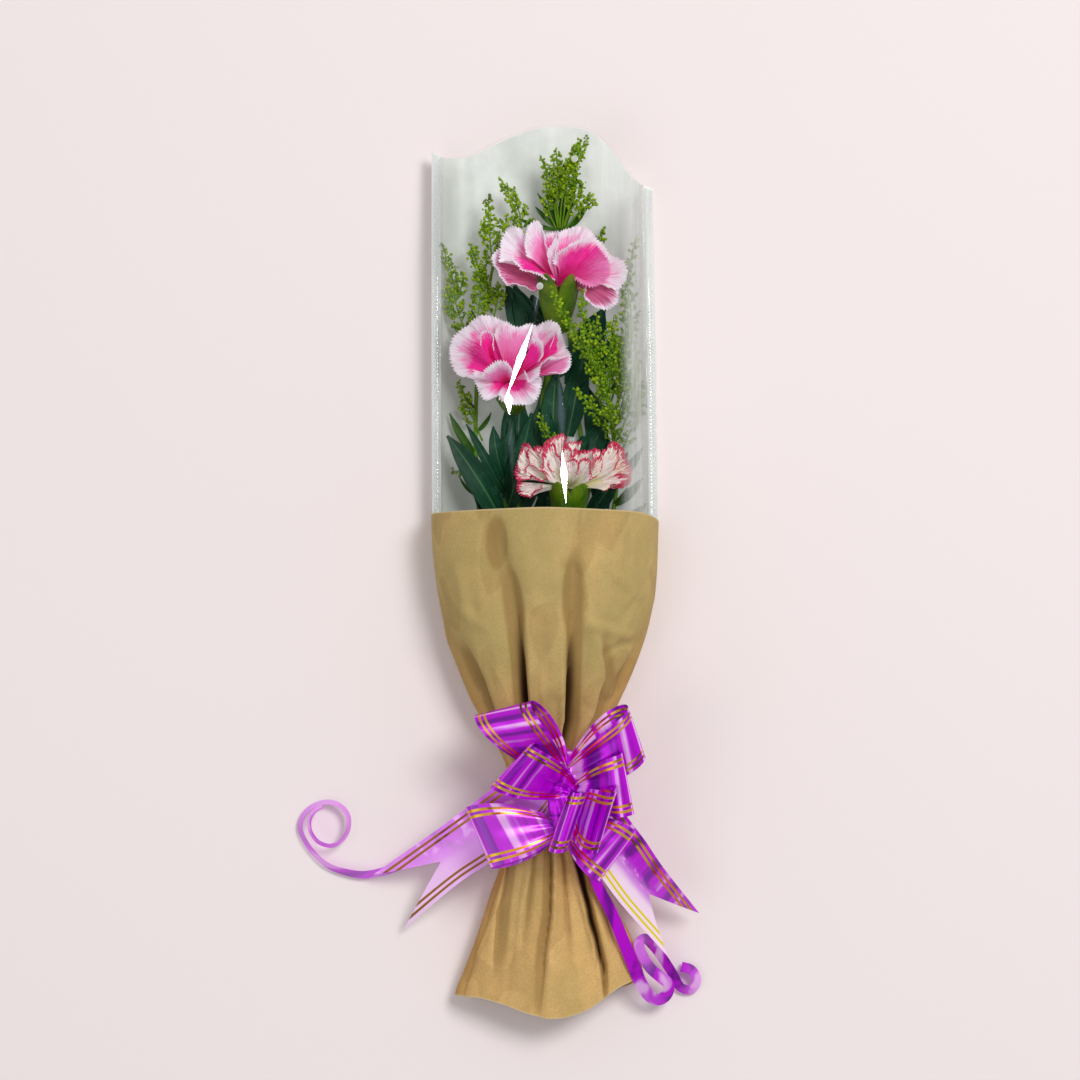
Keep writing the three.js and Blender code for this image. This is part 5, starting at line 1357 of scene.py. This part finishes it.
def makeBand():
    angle = circle(ribbon["bandSides"])[None]
    rows = np.linspace(-0.5, 0.5, ribbon["bandRows"])[:, None]
    grid = sleevePoint(ribbon["neck"] + rows * ribbon["bandWidth"], angle)
    reach = ribbon["bandReach"] + 0.25 * np.cos(angle * 11) * (1 - 2 * rows**2)
    grid = grid + stacked(-np.cos(angle), 0, np.sin(angle)) * reach[..., None]
    grid[..., 2] = np.maximum(grid[..., 2], 0.3)
    heap = Heap()
    heap.sheet(grid, ribbon["thickness"], stacked(rows * 2, angle / 6.3, 0.1), closed=True)
    makePiece("tieBand", heap, "tie_band", [ribbonFinish("bandRibbon")])


# Curling ribbons: a centre line, and how far the ribbon leans from standing on edge, in degrees. Their paler
# stretches are partly the ribbon's own lilac and partly painted highlight.

curls = {
    "left": {
        "side": 1, "paleAndHighlight": [[0, 0.35], [0.5, 0.32], [0.62, 0.4], [0.72, 0.7], [0.84, 0.5], [0.92, 0.2], [1, 0.5]],
        "lean": [[0, 90], [0.42, 80], [0.56, 42], [1, 40]],
        "width": [[0, 7], [0.2, 5.6], [0.45, 4.2], [0.7, 3.6], [1, 3]],
        "path": [[-2, -251, 38], [-16, -256, 34.4], [-36, -266, 27], [-58, -278, 16], [-76, -285, 6.5],
                 [-86, -288.6, 4], [-95, -290, 3.8], [-104.5, -288.6, 3.8], [-114, -285, 3.8],
                 [-121, -279, 3.8], [-126, -272, 3.8], [-128.4, -265.7, 3.8], [-127, -259.5, 3.8],
                 [-123.5, -255.3, 4], [-118, -252.5, 4.4], [-112, -252, 5], [-106.6, -254.3, 5.8],
                 [-103.2, -259, 6.6], [-103.2, -266, 7.6], [-106.5, -271.8, 8.6], [-112, -274.5, 9.4],
                 [-118.5, -272.5, 10], [-122.5, -267.5, 10.6], [-123.3, -261.5, 11.2],
                 [-120.8, -256.6, 11.4], [-116.6, -253.8, 11.4]],
    },
    "right": {
        "side": -1, "paleAndHighlight": [[0, 0.1], [0.42, 0], [0.5, 0.3], [0.6, 0.05], [0.7, 0.45], [0.78, 0.1], [0.86, 0],
                             [0.94, 0.4], [1, 0.1]],
        "lean": [[0, 90], [0.45, 80], [0.6, 56], [1, 46]], "width": [[0, 4.8], [0.2, 5.6], [0.45, 6.8], [1, 6.6]],
        "path": [[18.2, -250, 31], [21, -262, 33.5], [24, -278, 34], [26.5, -291.2, 33.5], [34.8, -308.4, 31],
                 [41, -323.4, 28], [46.3, -336.4, 23], [51, -347.4, 17], [56.2, -354, 13.5],
                 [60.5, -354.6, 12.5], [64, -351.5, 13], [64.5, -346.5, 14], [60.3, -342.7, 15.5],
                 [55.1, -338, 17.5], [50.5, -330.5, 19.5], [49, -325, 19], [52, -322.5, 16.5],
                 [57, -327, 12], [62, -334, 8], [66.5, -341, 6], [71.5, -349.2, 5], [77, -350, 4.6],
                 [79.5, -345.3, 4.8], [77, -340, 5.2], [71.5, -338, 5.6]],
    },
}


def makeCurls():
    shares = np.linspace(0, 1, ribbon["curlRows"])
    edge = np.linspace(-0.5, 0.5, ribbon["curlColumns"])
    for name, curl in curls.items():
        heap = Heap()
        line = smoothLine(curl["path"], shares)
        aside = unit(np.cross(tangents(line), [0, 0, 1]))
        angle = np.radians(along(curl["lean"], shares, 0.04))[:, None]
        width = [0, 0, 1] * np.cos(angle) + aside * curl["side"] * np.sin(angle)
        wide = along(curl["width"], shares, 0.05)[:, None, None]
        grid = line[:, None] + width[:, None] * edge[:, None] * wide
        marks = stacked(edge * 2, shares[:, None], along(curl["paleAndHighlight"], shares, 0.03)[:, None])
        heap.sheet(grid, ribbon["thickness"], marks)
        makePiece(name + "Curl", heap, "curl_ribbon_" + name, [ribbonFinish(name + "CurlRibbon")])


makeView()
makePaper()
makeFilms()
makeBlooms()
makeStems()
makeGoldenrods()
makeBow()
makeBand()
makeCurls()
